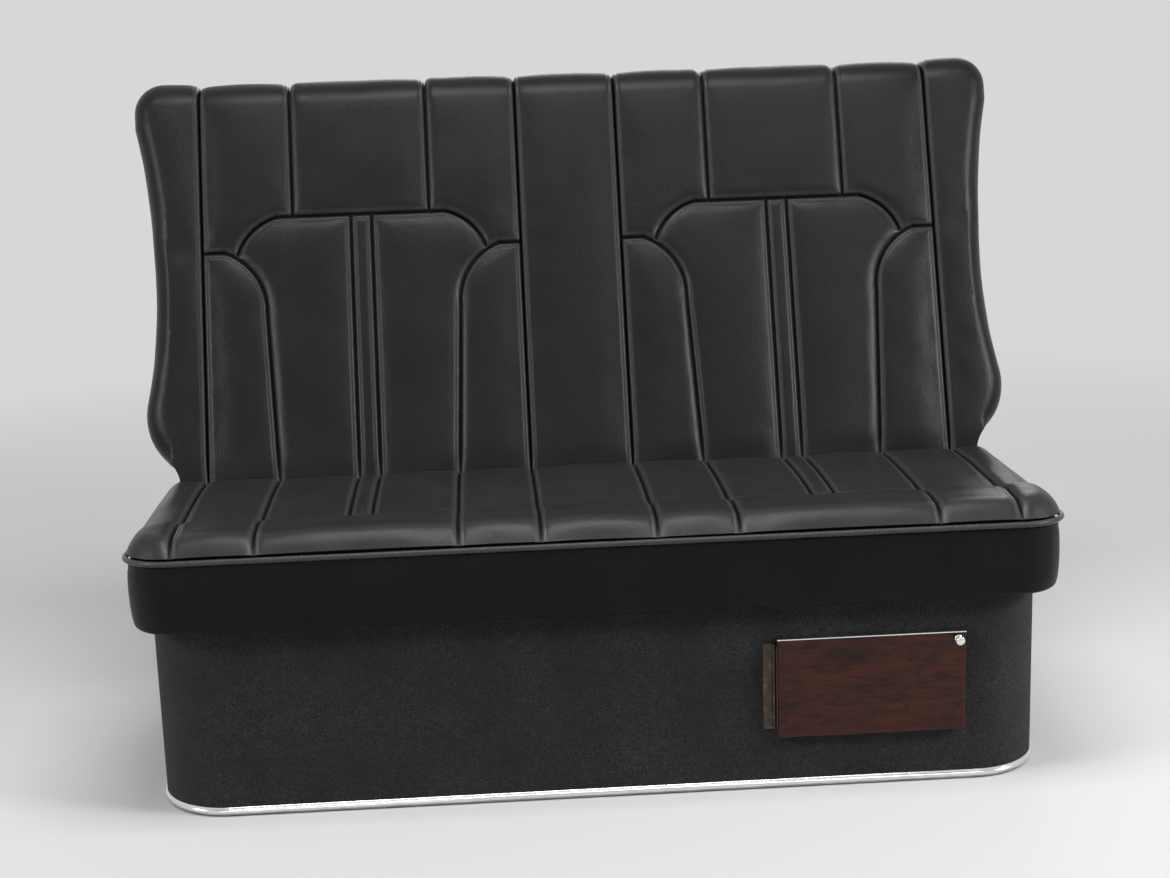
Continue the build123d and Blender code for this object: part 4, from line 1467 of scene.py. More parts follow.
@dataclass(kw_only=True)
class Bolster(BackCover):
    """The plain side bolster, with a waist, that ends the backrest."""

    side: Side
    outline: Outline = Outline()
    skin: SewnSkin = SewnSkin(crown=0.0035, crown_reach=0.06)
    x0: float = Pattern.centre + Pattern.half
    side_roll: float = 0.030
    flat: float = 0.075
    swell: float = 0.0035
    sag: float = 0.0006
    sag_scale: float = 9.0
    seed: int = 31

    def surface(self, step: float, even: bool, share: float = 1.0) -> dict[str, Array]:
        """The bolster's front, with its coordinates x and s, its lean and its outward direction in them."""
        top, corner = self.outline.top, self.outline.corner
        angle = quarter(0.8 * step / self.roll)
        rows = np.concatenate([runs(self.foot, top - self.roll, step), top - self.roll * (1 - np.sin(angle))])
        edge = self.outline.edge_x(rows)[:, None]
        turn = quarter(0.8 * step / self.side_roll)
        across = runs(0.0, self.flat, step) if even else spaced(0.0, self.flat, [0.0], step)
        start = self.x0 + self.gap
        inner = start + across[None] / self.flat * (edge - self.side_roll - start)
        outer = edge - self.side_roll * (1 - np.sin(turn))[None]
        x = np.concatenate([inner, outer], 1)
        columns = np.concatenate([across, self.flat + self.side_roll * turn])
        s = np.repeat(rows[:, None], x.shape[1], 1)
        centre_x, centre_s = self.outline.half - corner, top - corner
        in_corner = (x > centre_x) & (s > centre_s)
        over_top = ~in_corner & (x <= centre_x)
        around = np.arctan2(x - centre_x, s - centre_s)
        sideways = np.where(in_corner, np.sin(around) ** 2, np.where(over_top, 0.0, 1.0))
        to_edge = np.where(over_top, top - s, edge - x)
        to_edge = np.where(in_corner, corner - np.hypot(x - centre_x, s - centre_s), to_edge)
        radius = self.roll * (1 - sideways) + self.side_roll * sideways
        lean = np.arcsin(np.clip((radius - to_edge) / radius, 0.0, 1.0))
        out_x = np.where(in_corner, np.sin(around), np.where(over_top, 0.0, 1.0))
        out_s = np.where(in_corner, np.cos(around), np.where(over_top, 1.0, 0.0))
        height, distance = self.skin.height([self.seam()], x, s)
        height = share * height * self.rising(s)
        aside = height * np.sin(lean)
        level = -radius * (1 - np.cos(lean)) + height * np.cos(lean)
        points = self.frame.world(x + out_x * aside * 0.5, s + out_s * aside, level)
        return dict(rows=rows, columns=columns, points=points, distance=distance,
                    free=step_between(s, *self.freeing), x=x, s=s, lean=lean, out_x=out_x, out_s=out_s)

    def seam(self) -> Seam:
        """The seam that joins the bolster to the seat place."""
        return Seam((self.x0, self.foot - 0.1), (self.x0, self.outline.top + 0.2), lip=-1)

    def build(self, finishes: Wardrobe) -> None:
        """Blow, sew and close the bolster."""
        name = "bolster_pad_" + self.side.name.lower()
        fine, front = self.blow(name)
        x, s, lean, distance = (fine[key] for key in ("x", "s", "lean", "distance"))
        front[..., 1] += self.sag * waves(front, self.sag_scale, self.seed + self.side.value)
        loop = border(*x.shape)
        edge = front.reshape(-1, 3)[loop]
        parts = (x, s, lean, fine["out_x"], fine["out_s"])
        ex, es, el, out_x, out_s = (part.ravel()[loop] for part in parts)
        rings = []
        for share in self.shares():
            end = self.frame.world(ex, es, -self.depth + 0 * es)
            swell = self.swell * math.sin(math.pi * share) * np.sin(el)
            bow = np.stack([swell * out_x, 0 * swell, swell * out_s], -1)
            rings.append(edge * (1 - share) + end * share + bow)
        piece = closed_shell(name, front, rings, self.side is Side.LEFT)
        keep_seam(piece, distance)
        dress(piece, finishes.leather)
        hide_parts("bolster_" + self.side.name.lower())


@dataclass(frozen=True)
class SeatPlan:
    """Plan of the seat: x across and f forward of the junction with the back."""

    junction_y: float
    half: float = 0.672
    depth: float = 0.453
    corner: float = 0.065
    welt_z: float = 0.405
    welt_fall: float = 0.033
    side_end: float = 0.045

    def welt_height(self, f: Array) -> Array:
        """Height of the welt's plane, which falls to the back."""
        return self.welt_z - self.welt_fall * (self.depth - f) / self.depth

    def world(self, x: Array, f: Array, z: Array) -> Array:
        """Points in the row frame."""
        return np.stack(np.broadcast_arrays(x, self.junction_y - f, z), -1)

    def rim(self, inset: float, rear: float, step: float) -> tuple[Array, Array]:
        """The plan's edge from the left rear, round the front, to the right rear.

        Args:
            inset: How far inside the edge.
            rear: How far forward the two ends lie.
            step: Distance between points.

        Returns:
            Points x and f, and the outward direction at each.
        """
        half, front, corner = self.half - inset, self.depth - inset, self.corner - inset
        side = runs(rear, front - corner, step)
        angle = quarter(step / corner)
        line = runs(-half + corner, half - corner, step)[1:]
        cos, sin = np.cos(angle), np.sin(angle)
        centre_x, centre_f = half - corner, front - corner
        # x, f and the outward direction of each stretch
        stretches = (
            (-half, side, -1.0, 0.0),
            (-centre_x - corner * cos, centre_f + corner * sin, -cos, sin),
            (line, front, 0.0, 1.0),
            (centre_x + corner * sin, centre_f + corner * cos, sin, cos),
            (half, side[::-1][1:], 1.0, 0.0),
        )
        found = np.concatenate([np.stack(np.broadcast_arrays(*stretch), -1) for stretch in stretches])
        return found[:, :2], found[:, 2:]


@dataclass(kw_only=True)
class SeatCushion(SewnCover):
    """The long cushion: crowned top, front roll with its cross seams, and sewn channels."""

    plan: SeatPlan
    pattern: Pattern = Pattern()
    skin: SewnSkin = SewnSkin(puff=0.0078, reach=0.0155, crown=0.0085, crown_reach=0.105, groove=0.0020)
    cloth: BlownLeather = BlownLeather(cap=0.0035)
    uneven: Unevenness = Unevenness(0.00014, 38.0, 0.015, 0.012, (0.5, 1.0, 1.0), 0.0011)
    step: float = 0.0048
    coarse: float = 0.0085
    panel: float = 0.144
    roll_seam: Point2 = (0.310, 0.4125)
    roll_rise: Point2 = (0.350, 0.4225)
    roll_crest: Point2 = (0.398, 0.4235)
    roll_nose: Point2 = (0.4365, 0.4170)
    crown: Point2 = (0.150, 0.4080)
    rear: Point2 = (-0.004, 0.368)
    rear_top: Point2 = (0.030, 0.3985)
    rear_mid: Point2 = (0.006, 0.391)
    side_roll: float = 0.040
    inset: float = 0.001
    floor: float = 0.3215
    tuck: float = 0.0158
    welt_gap: float = 0.0008
    stitched: float = 0.622
    unstitched: Point2 = (0.02, 0.008)

    def section(self, step: float, even: bool) -> tuple[Array, Array]:
        """The middle section from the crevice at the back to the lip.

        Args:
            step: Distance between points away from the cross seam.
            even: Whether they are evenly spaced.

        Returns:
            The points f and z, and their distances along the section.
        """
        lip = (self.plan.depth - self.inset, self.plan.welt_z + self.welt_gap)
        arcs = (
            Seam(self.rear, self.rear_top, self.rear_mid),
            Seam(self.rear_top, self.roll_seam, self.crown),
            Seam(self.roll_seam, self.roll_crest, self.roll_rise),
            Seam(self.roll_crest, lip, self.roll_nose),
        )
        line = np.concatenate([[self.rear], *(arc.points(0.0005)[0] for arc in arcs), [lip]])
        along = lengths(line)
        mark = float(np.interp(self.roll_seam[0], line[:, 0], along))
        end = float(along[-1])
        spots = runs(0.0, end, step) if even else spaced(0.0, end, [mark, end], step)
        return np.stack([np.interp(spots, along, line[:, 0]), np.interp(spots, along, line[:, 1])], -1), spots

    def across(self, *aside: float) -> list[float]:
        """X of lines that run to the front, aside from each place's centre line on both sides."""
        sides = [(way, side) for way in (-1, 1) for side in (-1, 1)]
        return sorted(way * self.pattern.centre + side * u for way, side in sides for u in aside)

    def lines(self) -> list[float]:
        """X of the seams that run from back to front."""
        return self.across(self.pattern.half, self.panel)

    def channels(self) -> list[float]:
        """X of the channels behind the front roll."""
        return self.across(self.pattern.channel)

    def seams(self) -> list[Seam]:
        """All the seams, in x and f."""
        ahead = self.plan.depth + 0.1
        found = [Seam((x, -0.1), (x, ahead), lip=1 if x > 0 else -1) for x in self.lines()]
        found += [Seam((x, -0.1), (x, self.roll_seam[0]), lip=0) for x in self.channels()]
        for way in (-1, 1):
            middle = way * self.pattern.centre
            found.append(Seam((middle - self.panel, self.roll_seam[0]),
                              (middle + self.panel, self.roll_seam[0]), lip=-1))
        return found

    def surface(self, step: float, even: bool, share: float = 1.0) -> dict[str, Array]:
        """The cushion's top, with its coordinates x and f."""
        line, rows = self.section(step, even)
        half, front = self.plan.half - self.inset, self.plan.depth - self.inset
        corner = self.plan.corner - self.inset
        f_row, z_row = line[:, 0], line[:, 1]
        past = np.clip(f_row - (front - corner), 0.0, corner)
        width = half - corner + np.sqrt(corner ** 2 - past ** 2)
        flat = half - self.side_roll
        marks = [x for x in self.lines() + self.channels() if x > 0]
        columns = runs(0.0, flat, step) if even else spaced(0.0, flat, marks, step)
        turn = quarter(0.8 * step / self.side_roll)
        right = np.concatenate([columns, half - self.side_roll * (1 - np.sin(turn))])
        columns = np.concatenate([-right[:0:-1], right])
        last = self.lines()[-1]
        squeeze = (width[:, None] - last) / (half - last)
        x = np.sign(columns) * np.where(np.abs(columns) > last, last + (np.abs(columns) - last) * squeeze,
                                        np.abs(columns))
        f = np.repeat(f_row[:, None], x.shape[1], 1)
        away_x, away_f = np.abs(x) - (half - corner), f - (front - corner)
        in_corner = (away_x > 0) & (away_f > 0)
        to_edge = np.where(in_corner, corner - np.hypot(away_x, away_f), half - np.abs(x))
        around = np.arctan2(np.clip(away_x, 0, None), np.clip(away_f, 1e-9, None))
        sideways = np.where(in_corner, np.sin(around) ** 2, 1.0)
        sink = np.clip(1 - to_edge / self.side_roll, 0.0, 1.0)
        welt = self.plan.welt_height(f) + self.welt_gap
        side_z = welt + np.maximum(z_row[:, None] - welt, 0.0005) * np.sqrt(np.clip(1 - sink ** 2, 0.0, 1.0))
        roll_z = np.interp(np.clip(front - to_edge, None, front), f_row, z_row)
        z = np.where(in_corner, (1 - sideways) * roll_z + sideways * side_z, side_z)
        base = self.plan.world(x, f, z)
        normal = np.cross(np.gradient(base, axis=0), np.gradient(base, axis=1))
        normal *= np.where(normal[..., 2:3] < 0, -1.0, 1.0)
        normal = unit(normal)
        height, distance = self.skin.height(self.seams(), x, f)
        low = np.interp(f, [-0.01, 0.004, 0.030], [0.2, 0.4, 1.0])
        lipped = step_between(np.minimum(to_edge, front - f), -0.004, 0.032) * 0.85 + 0.15
        points = base + (share * low * lipped * height)[..., None] * normal
        free = step_between(np.minimum(to_edge, self.plan.depth - f), 0.0, 0.02)
        return dict(rows=rows, columns=columns, points=points, distance=distance, free=free, x=x, f=f)

    def build(self, finishes: Wardrobe) -> None:
        """Blow, sew, stitch and close the cushion."""
        fine, points = self.blow("cushion_leather")
        x, f, distance = (fine[key] for key in ("x", "f", "distance"))
        rows, columns = x.shape
        points[..., 2] += self.uneven.height(points, distance, 5, 12)
        loop = border(rows, columns)
        lx, lf = x.ravel()[loop], f.ravel()[loop]
        edge = points.reshape(-1, 3)[loop]
        tucked_x = np.clip(lx, -self.plan.half + self.tuck, self.plan.half - self.tuck)
        tucked_f = np.clip(lf, None, self.plan.depth - self.tuck)
        corner = self.plan.corner - self.tuck
        cx, cf = self.plan.half - self.plan.corner, self.plan.depth - self.plan.corner
        ax, af = np.abs(lx) - cx, lf - cf
        turning = (ax > 0) & (af > 0)
        reach = np.hypot(ax, af) + 1e-9
        tucked_x = np.where(turning, np.sign(lx) * (cx + ax * corner / reach), tucked_x)
        tucked_f = np.where(turning, cf + af * corner / reach, tucked_f)
        under_z = np.minimum(self.plan.welt_height(lf), edge[:, 2]) - 0.001
        under = self.plan.world(tucked_x, tucked_f, under_z)
        base = self.plan.world(tucked_x, tucked_f, self.floor)
        rear = lf <= f.min() + 1e-9
        under[rear] = edge[rear] * 0.5 + base[rear] * 0.5
        piece = closed_shell("cushion_leather", points[::-1], self.reordered([under, base], rows, columns))
        keep_seam(piece, distance[::-1])
        # The cushion wears the lighter copy of the leather: painted light
        dress(piece, finishes.lit_leather)
        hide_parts("seat_cushion")
        self.stitch(LeatherFace(points, fine["rows"], fine["columns"], -1.0), finishes.thread)

    def stitch(self, face: LeatherFace, thread: Material) -> None:
        """Lay the top-stitching beside the cushion's seams."""
        line, along = self.section(self.step, False)

        def place(x: Array, f: Array) -> tuple[Array, Array]:
            """Points of the face at x and f."""
            return face.look_up(np.interp(f, line[:, 0], along), x)

        def keep(x: Array, f: Array) -> Array:
            """Whether x and f lie on the cushion's open top, clear of its rounded ends."""
            rear, front = self.unstitched
            return (np.abs(x) < self.stitched) & (f > rear) & (f < self.plan.depth - front)

        Stitching().lay("thread_cushion", self.seams(), self.skin, place, keep, thread)

    @staticmethod
    def reordered(rings: Sequence[Array], rows: int, columns: int) -> list[Array]:
        """Rings of a grid put in the order that the grid has with its rows turned round."""
        loop = border(rows, columns)
        place = {int(number): k for k, number in enumerate(loop)}
        turned = np.arange(rows * columns).reshape(rows, columns)[::-1]
        order = [place[int(number)] for number in turned.ravel()[border(rows, columns)]]
        return [ring[order] for ring in rings]


@dataclass
class SeatFascia:
    """The padded band under the cushion, its welt, and the band's top-stitched edge."""

    plan: SeatPlan
    foot: float = 0.293
    thickness: float = 0.0148
    bulge: float = 0.0032
    top_roll: float = 0.0032
    foot_roll: float = 0.008
    welt_radius: float = 0.0042
    welt_inset: float = -0.0042
    # Seam distance given to the whole welt, which puts it in the lighter band: part wear, part painted
    # highlight
    welt_rubbed_sheen: float = 0.0036
    stitch_drop: float = 0.0105
    stitch_dip: float = 0.0011
    drape: float = 0.0011
    ripple: float = 0.0003
    gap: float = 0.0003

    def profile(self, top: float) -> Array:
        """The band's closed section, as distances out and heights, for one height of its top."""
        def rounded(level: float, roll: float, start: float) -> Array:
            """A quarter turn of radius roll about level, from angle start."""
            angle = np.linspace(start, start + math.pi / 2, 7)
            return np.stack([-roll + roll * np.cos(angle), level + roll * np.sin(angle)], -1)

        foot = rounded(self.foot + self.foot_roll, self.foot_roll, -math.pi / 2)
        head = rounded(top - self.top_roll, self.top_roll, 0.0)
        share = np.linspace(0.0, 1.0, 22)[1:-1]
        rise = foot[-1, 1] + share * (head[0, 1] - foot[-1, 1])
        out = self.bulge * (1 - (2 * share - 1) ** 2) ** 0.7
        out = out - self.stitch_dip * np.exp(-(((top - rise - self.stitch_drop) / 0.0021) ** 2))
        face = np.stack([out, rise], -1)
        inner = np.array([[-self.thickness, top], [-self.thickness, self.foot]])
        return np.concatenate([foot, face, head, inner])

    def build(self, finishes: Wardrobe) -> None:
        """Sweep the band and the welt round the seat."""
        spots, out = self.plan.rim(0.0, self.plan.side_end, 0.004)
        tilt = math.atan2(self.plan.welt_fall, self.plan.depth)
        drop = 2 * (self.welt_radius / math.cos(tilt) + self.gap)
        sections = []
        for spot, way in zip(spots, out):
            profile = self.profile(float(self.plan.welt_height(spot[1])) - drop)
            x, f = spot[0] + profile[:, 0] * way[0], spot[1] + profile[:, 0] * way[1]
            sections.append(self.plan.world(x, f, profile[:, 1]))
        points = np.array(sections)
        face = np.clip((points[..., 2] - self.foot) / 0.03, 0, 1)
        drape = waves(points * np.array([1.0, 1.0, 0.45]), 17.0, 8)
        fine = waves(points * np.array([1.0, 1.0, 0.25]), 60.0, 2)
        move = (self.drape * drape + self.ripple * fine) * face
        move[:, -2:] = 0.0
        points[..., 0] += move * out[:, 0][:, None]
        points[..., 1] -= move * out[:, 1][:, None]
        band = swept("fascia_leather", points)
        keep_seam(band)
        # The band wears the darker copy of the leather: painted shade
        dress(band, finishes.shaded_band_leather)
        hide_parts("seat_fascia")

        spots, out = self.plan.rim(self.welt_inset, self.plan.side_end, 0.003)
        z = self.plan.welt_height(spots[:, 1]) - self.gap - self.welt_radius / math.cos(tilt)
        path = self.plan.world(spots[:, 0], spots[:, 1], z)
        welt = tube("welt_leather", path, self.welt_radius, 14, 0.05)
        # The whole welt is painted lighter, part wear and part painted highlight
        keep_seam(welt, fill=self.welt_rubbed_sheen)
        # The welt wears the lighter copy of the leather: painted light
        dress(welt, finishes.lit_leather)
        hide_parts("cushion_welt")


@dataclass
class BackTurnover:
    """Leather turned over the back board's rim and stapled down behind it."""

    frame: BackFrame
    outline: Outline = Outline(top=0.682)
    inset: float = 0.006
    wrap: float = 0.0015
    front: float = -0.0953
    rear: float = -0.1103
    width: float = 0.030
    staple: Bead = Bead(0.0105, 0.0006, 6)
    staple_pitch: float = 0.032
    staple_inset: float = 0.022
    staple_lift: float = 0.0003
    skin_gap: float = 0.0001
    ragged: float = 0.0016
    pleat: float = 0.0007
    pleat_pitch: float = 0.011

    def build(self, finishes: Wardrobe) -> None:
        """Make the turned edge and its staples."""
        right = self.outline.line(self.inset, 0.004)
        line = np.concatenate([right, right[::-1][1:] * np.array([-1.0, 1.0])])
        way = unit(np.gradient(line, axis=0))
        out = np.stack([way[:, 1], -way[:, 0]], -1)
        along = lengths(line)
        lap, wrap = self.rear - self.wrap, self.wrap
        # The section, out from the board's rim and level behind the pads: its rim, its lap and its inside
        bend = [(wrap, self.front), (wrap, -0.100), (wrap, -0.105), (wrap, self.rear + 0.0008),
                (wrap * 0.6, self.rear - wrap * 0.8),
                *((-inset, lap) for inset in (0.001, 0.008, 0.016, 0.024)),
                (-self.width, self.rear - wrap * 0.9), (-self.width - 0.0004, self.rear - self.skin_gap),
                (-0.010, self.rear - self.skin_gap), (-self.skin_gap, self.rear), (0.0, -0.105),
                (0.0, self.front)]
        ragged_part, pleated_part = range(8, 11), range(5, 10)
        flat = np.stack([along, np.zeros_like(along), np.zeros_like(along)], -1)
        ragged = self.ragged * waves(flat, 70.0, 4)
        curve = np.abs(np.gradient(np.unwrap(np.arctan2(way[:, 1], way[:, 0])), along))
        pleat = np.clip(curve / 12.0, 0.0, 1.0) * self.pleat
        pleat = pleat * (1 + np.sin(along * math.tau / self.pleat_pitch))
        columns = []
        for k, (offset, level) in enumerate(bend):
            reach = offset + (ragged if k in ragged_part else 0.0)
            lift = level - (pleat if k in pleated_part else 0.0)
            spot = line + out * np.reshape(reach, (-1, 1))
            columns.append(self.frame.world(spot[:, 0], spot[:, 1], lift * np.ones(len(line))))
        piece = swept("turned_leather", np.stack(columns, 1), False)
        keep_seam(piece)
        dress(piece, finishes.leather)
        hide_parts("back_turnover")

        at = np.arange(self.staple_pitch / 2, along[-1], self.staple_pitch)
        spot, direction, outward = (np.stack([np.interp(at, along, v[:, k]) for k in (0, 1)], -1)
                                    for v in (line, way, out))
        spot = spot - outward * self.staple_inset
        level = np.full(len(at), lap)
        places = self.frame.world(spot[:, 0], spot[:, 1], level)
        origin = self.frame.world(0.0, 0.0, 0.0)
        ways = self.frame.world(direction[:, 0], direction[:, 1], 0 * level) - origin
        behind = np.repeat(origin[None] - self.frame.world(0.0, 0.0, 1.0)[None], len(at), 0)
        staples = self.staple.scatter("turnover_staples", places, ways, behind, self.staple_lift)
        dress(staples, finishes.steel)


# CAD pieces that keep their shape and get their finish


BOARDS: dict[Facing, tuple[str, ...]] = {
    Facing.ACROSS: ("plinth_side_left", "plinth_side_right", "plinth_rib_left", "plinth_rib_right",
                    "locker_left", "locker_right"),
    Facing.BACK: ("plinth_front", "plinth_back", "plinth_corner_left", "plinth_corner_right", "locker_back"),
    Facing.UP: ("seat_deck", "cushion_board", "locker_floor", "locker_top"),
    Facing.SLOPE: ("back_board",),
}
METALWORK: tuple[str, ...] = (
    "floor_bracket_front_left", "floor_bracket_front_right", "floor_bracket_rear_left",
    "floor_bracket_rear_right", "back_strap_left", "back_strap_centre", "back_strap_right",
    "wall_hanger_left", "wall_hanger_right", "catch_plate",
)
HINGE: tuple[str, ...] = ("hinge_leaf_fixed", "hinge_leaf_door", "hinge_pin")


@dataclass
class Joinery:
    """The CAD pieces that show as they are: boards, metalwork, door and bright trim."""

    nodes: dict[str, Piece]
    finishes: Wardrobe

    def paint(self, node: str, material: Material) -> None:
        """Give a CAD piece its material."""
        mesh = self.nodes[node].data
        mesh.materials.clear()
        mesh.materials.append(material)
        log.info("node %s: %s", node, material.name)

    def build(self) -> None:
        """Paint them all."""
        for facing, names in BOARDS.items():
            for name in names:
                self.paint(name, self.finishes.ply[facing])
        for name in METALWORK:
            self.paint(name, self.finishes.steel)
        for name in HINGE:
            self.paint(name, self.finishes.bronze)
        self.paint("door_edge_trim", self.finishes.bright)
        self.paint("door_panel", self.finishes.veneer)
        self.paint("plinth_carpet", self.finishes.carpet)
        self.paint("catch_magnet", self.finishes.plastic)


@dataclass(frozen=True)
class ScrewPlace:
    """A group of screws: its piece, what it belongs to, and where the screws sit and point."""

    name: str
    slot: Slot
    body: Body
    radius: float
    out: Point3
    spots: tuple[Point3, ...]


@dataclass(frozen=True)
class ScrewHead:
    """A domed screw head with a cross recess."""

    radius: float
    dome: float = 0.42
    bite: float = 0.34
    arm: float = 0.16
    arm_length: float = 0.62
    sides: int = 32

    def form(self, turn: float) -> tuple[Array, list]:
        """Points across, along and out from the surface, and the faces.

        Args:
            turn: Angle at which the recess stands.

        Returns:
            The points and the faces.
        """
        shares = np.array([0.14, 0.28, 0.42, 0.54, 0.64, 0.76, 0.88, 0.96, 1.0, 1.0])
        angle = np.linspace(0, math.tau, self.sides, endpoint=False)
        r, a = np.meshgrid(shares, angle, indexing="ij")
        x, y = r * np.cos(a), r * np.sin(a)
        high = self.dome * np.sqrt(np.clip(1.04 - r ** 2, 0.0, 1.0))
        cx, cy = np.abs(r * np.cos(a - turn)), np.abs(r * np.sin(a - turn))
        inside = (np.minimum(cx, cy) < self.arm) & (np.maximum(cx, cy) < self.arm_length)
        high = high - np.where(inside, self.bite * (1 - 0.5 * r), 0.0)
        high[-1] = -0.15
        rings = np.stack([x, y, high], -1).reshape(-1, 3)
        points = np.concatenate([[(0.0, 0.0, self.dome - self.bite), (0.0, 0.0, -0.15)], rings]) * self.radius
        return points, turned_faces(len(shares), self.sides)


@dataclass
class Fasteners:
    """Screws of the hinge, the straps, the hangers and the floor brackets."""

    frame: BackFrame
    finishes: Wardrobe
    hinge_z: tuple[float, ...] = (0.108, 0.161, 0.214)
    hinge_inset: Point2 = (0.0065, 0.0062)
    leaf: float = 0.0012
    strap_x: tuple[float, ...] = (-0.480, 0.0, 0.480)
    strap_up: tuple[float, ...] = (0.045, 0.130, 0.225)
    strap_z: tuple[float, ...] = (0.222, 0.280)
    strap_bend: Point2 = (0.25165, 0.312)
    strap: float = 0.004
    hanger_x: tuple[float, ...] = (-0.463, -0.437, 0.437, 0.463)
    hanger_up: tuple[float, ...] = (0.575, 0.610)
    hanger_face: float = -0.1143
    bracket_x: tuple[float, ...] = (-0.016, 0.016)
    bracket_z: float = 0.043
    bracket: float = 0.003

    def places(self) -> list[ScrewPlace]:
        """Every group of screws."""
        sin_r, cos_r = math.sin(self.frame.recline), math.cos(self.frame.recline)
        slope = (0.0, cos_r, -sin_r)
        fixed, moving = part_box("hinge_leaf_fixed"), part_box("hinge_leaf_door")
        plinth_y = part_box("back_strap_centre")[0].y + self.strap
        bend_y, bend_z = self.strap_bend
        in_leaf = [(fixed[0].x + self.hinge_inset[0], fixed[1].y - self.leaf, z) for z in self.hinge_z]
        in_door = [(moving[1].x - self.leaf, moving[0].y + self.hinge_inset[1], z) for z in self.hinge_z]
        on_back = [(x, bend_y + u * sin_r + self.strap * cos_r, bend_z + u * cos_r - self.strap * sin_r)
                   for x in self.strap_x for u in self.strap_up]
        on_plinth = [(x, plinth_y, z) for x in self.strap_x for z in self.strap_z]
        on_hanger = [tuple(self.frame.world(x, s, self.hanger_face).tolist())
                     for x in self.hanger_x for s in self.hanger_up]
        # piece, slot, body, radius, direction and middles
        rows = [
            ("hinge_screws_fixed", Slot.BRONZE, Body.BENCH, 0.0029, (0.0, -1.0, 0.0), in_leaf),
            ("hinge_screws_door", Slot.BRONZE, Body.DOOR, 0.0029, (-1.0, 0.0, 0.0), in_door),
            ("strap_screws_back", Slot.STEEL, Body.BENCH, 0.0068, slope, on_back),
            ("strap_screws_plinth", Slot.STEEL, Body.BENCH, 0.0068, (0.0, 1.0, 0.0), on_plinth),
            ("hanger_screws", Slot.STEEL, Body.BENCH, 0.0060, slope, on_hanger),
        ]
        for end, row in ((1, "rear"), (-1, "front")):
            spots = []
            for side in ("left", "right"):
                low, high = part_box(f"floor_bracket_{row}_{side}")
                wall = high.y - self.bracket if end > 0 else low.y + self.bracket
                spots += [((low.x + high.x) / 2 + dx, wall, self.bracket_z) for dx in self.bracket_x]
            rows.append(("bracket_screws_" + row, Slot.STEEL, Body.BENCH, 0.0060, (0.0, -end, 0.0), spots))
        return [ScrewPlace(*row[:-1], tuple(row[-1])) for row in rows]

    def build(self) -> None:
        """Make the screws, each with its recess at its own angle."""
        draw = np.random.default_rng(41)
        for group in self.places():
            out = np.array(group.out)
            side = unit(np.cross(out, (0.0, 0.0, 1.0)))
            up = np.cross(out, side)
            points, faces = [], []
            for spot in group.spots:
                form, quads = ScrewHead(group.radius).form(draw.uniform(0.0, math.pi / 2))
                start = sum(len(part) for part in points)
                points.append(np.array(spot) + form[:, :1] * side + form[:, 1:2] * up + form[:, 2:] * out)
                faces += [[v + start for v in face] for face in quads]
            piece = new_object(group.name, np.concatenate(points), faces)
            metal = self.finishes.bronze if group.slot is Slot.BRONZE else self.finishes.steel
            dress(piece, metal, group.body)


@dataclass
class DoorKnob:
    """The small turned knob in the door's top corner."""

    finishes: Wardrobe
    sides: int = 48

    def build(self) -> None:
        """Turn the knob from its outline."""
        low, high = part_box("door_knob")
        centre_x, centre_z, foot_y = (low.x + high.x) / 2, (low.z + high.z) / 2, high.y
        radius, length = (high.x - low.x) / 2, high.y - low.y
        # shares of the radius and of the length, from the door outwards
        outline = (
            (0.86, 0.0), (0.90, 0.03), (0.86, 0.08), (0.60, 0.13), (0.46, 0.22), (0.42, 0.36), (0.45, 0.48),
            (0.60, 0.56), (0.86, 0.60), (0.97, 0.64), (1.0, 0.70), (1.0, 0.76), (0.97, 0.84), (0.88, 0.92),
            (0.76, 0.965), (0.70, 0.972), (0.66, 0.955), (0.60, 0.955), (0.40, 0.985), (0.20, 0.998),
        )
        angle = np.linspace(0, math.tau, self.sides, endpoint=False)
        points = [(centre_x, foot_y, centre_z), (centre_x, foot_y - length, centre_z)]
        for share, reach in outline:
            x, z = centre_x + share * radius * np.cos(angle), centre_z + share * radius * np.sin(angle)
            points += np.stack(np.broadcast_arrays(x, foot_y - reach * length, z), -1).tolist()
        faces = [face[::-1] for face in turned_faces(len(outline), self.sides)]
        piece = new_object("turned_knob", np.array(points), faces)
        dress(piece, self.finishes.bright, Body.DOOR)
        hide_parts("door_knob")


@dataclass
class BaseBead:
    """The bright half-round bead round the foot of the plinth, with its thin flange."""

    finishes: Wardrobe
    corner: float = 0.104
    radius: float = 0.004
    height: float = 0.008
    flange: float = 0.0022
    flange_thickness: float = 0.0007
    sunk: float = 0.0004
    half_turn: float = 1.28

    def build(self) -> None:
        """Sweep the bead round the plinth."""
        low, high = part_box("plinth_carpet")
        plan = SeatPlan(junction_y=high.y, half=high.x, depth=high.y - low.y, corner=self.corner)
        spots, out = plan.rim(0.0, 0.0, 0.004)
        lip, r = self.flange_thickness, self.radius
        angle = np.linspace(-self.half_turn, self.half_turn, 15)
        outline = np.array([(-self.sunk, -r - self.flange), (lip, -r - self.flange),
                            *((r * math.cos(a), r * math.sin(a)) for a in angle),
                            (lip, r + self.flange), (-self.sunk, r + self.flange)])
        x = spots[:, None, 0] + outline[None, :, 0] * out[:, None, 0]
        f = spots[:, None, 1] + outline[None, :, 0] * out[:, None, 1]
        z = np.broadcast_to(self.height + outline[None, :, 1], x.shape)
        piece = swept("bead_trim", plan.world(x, f, z))
        dress(piece, self.finishes.bright)
        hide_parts("base_bead")


# Studio

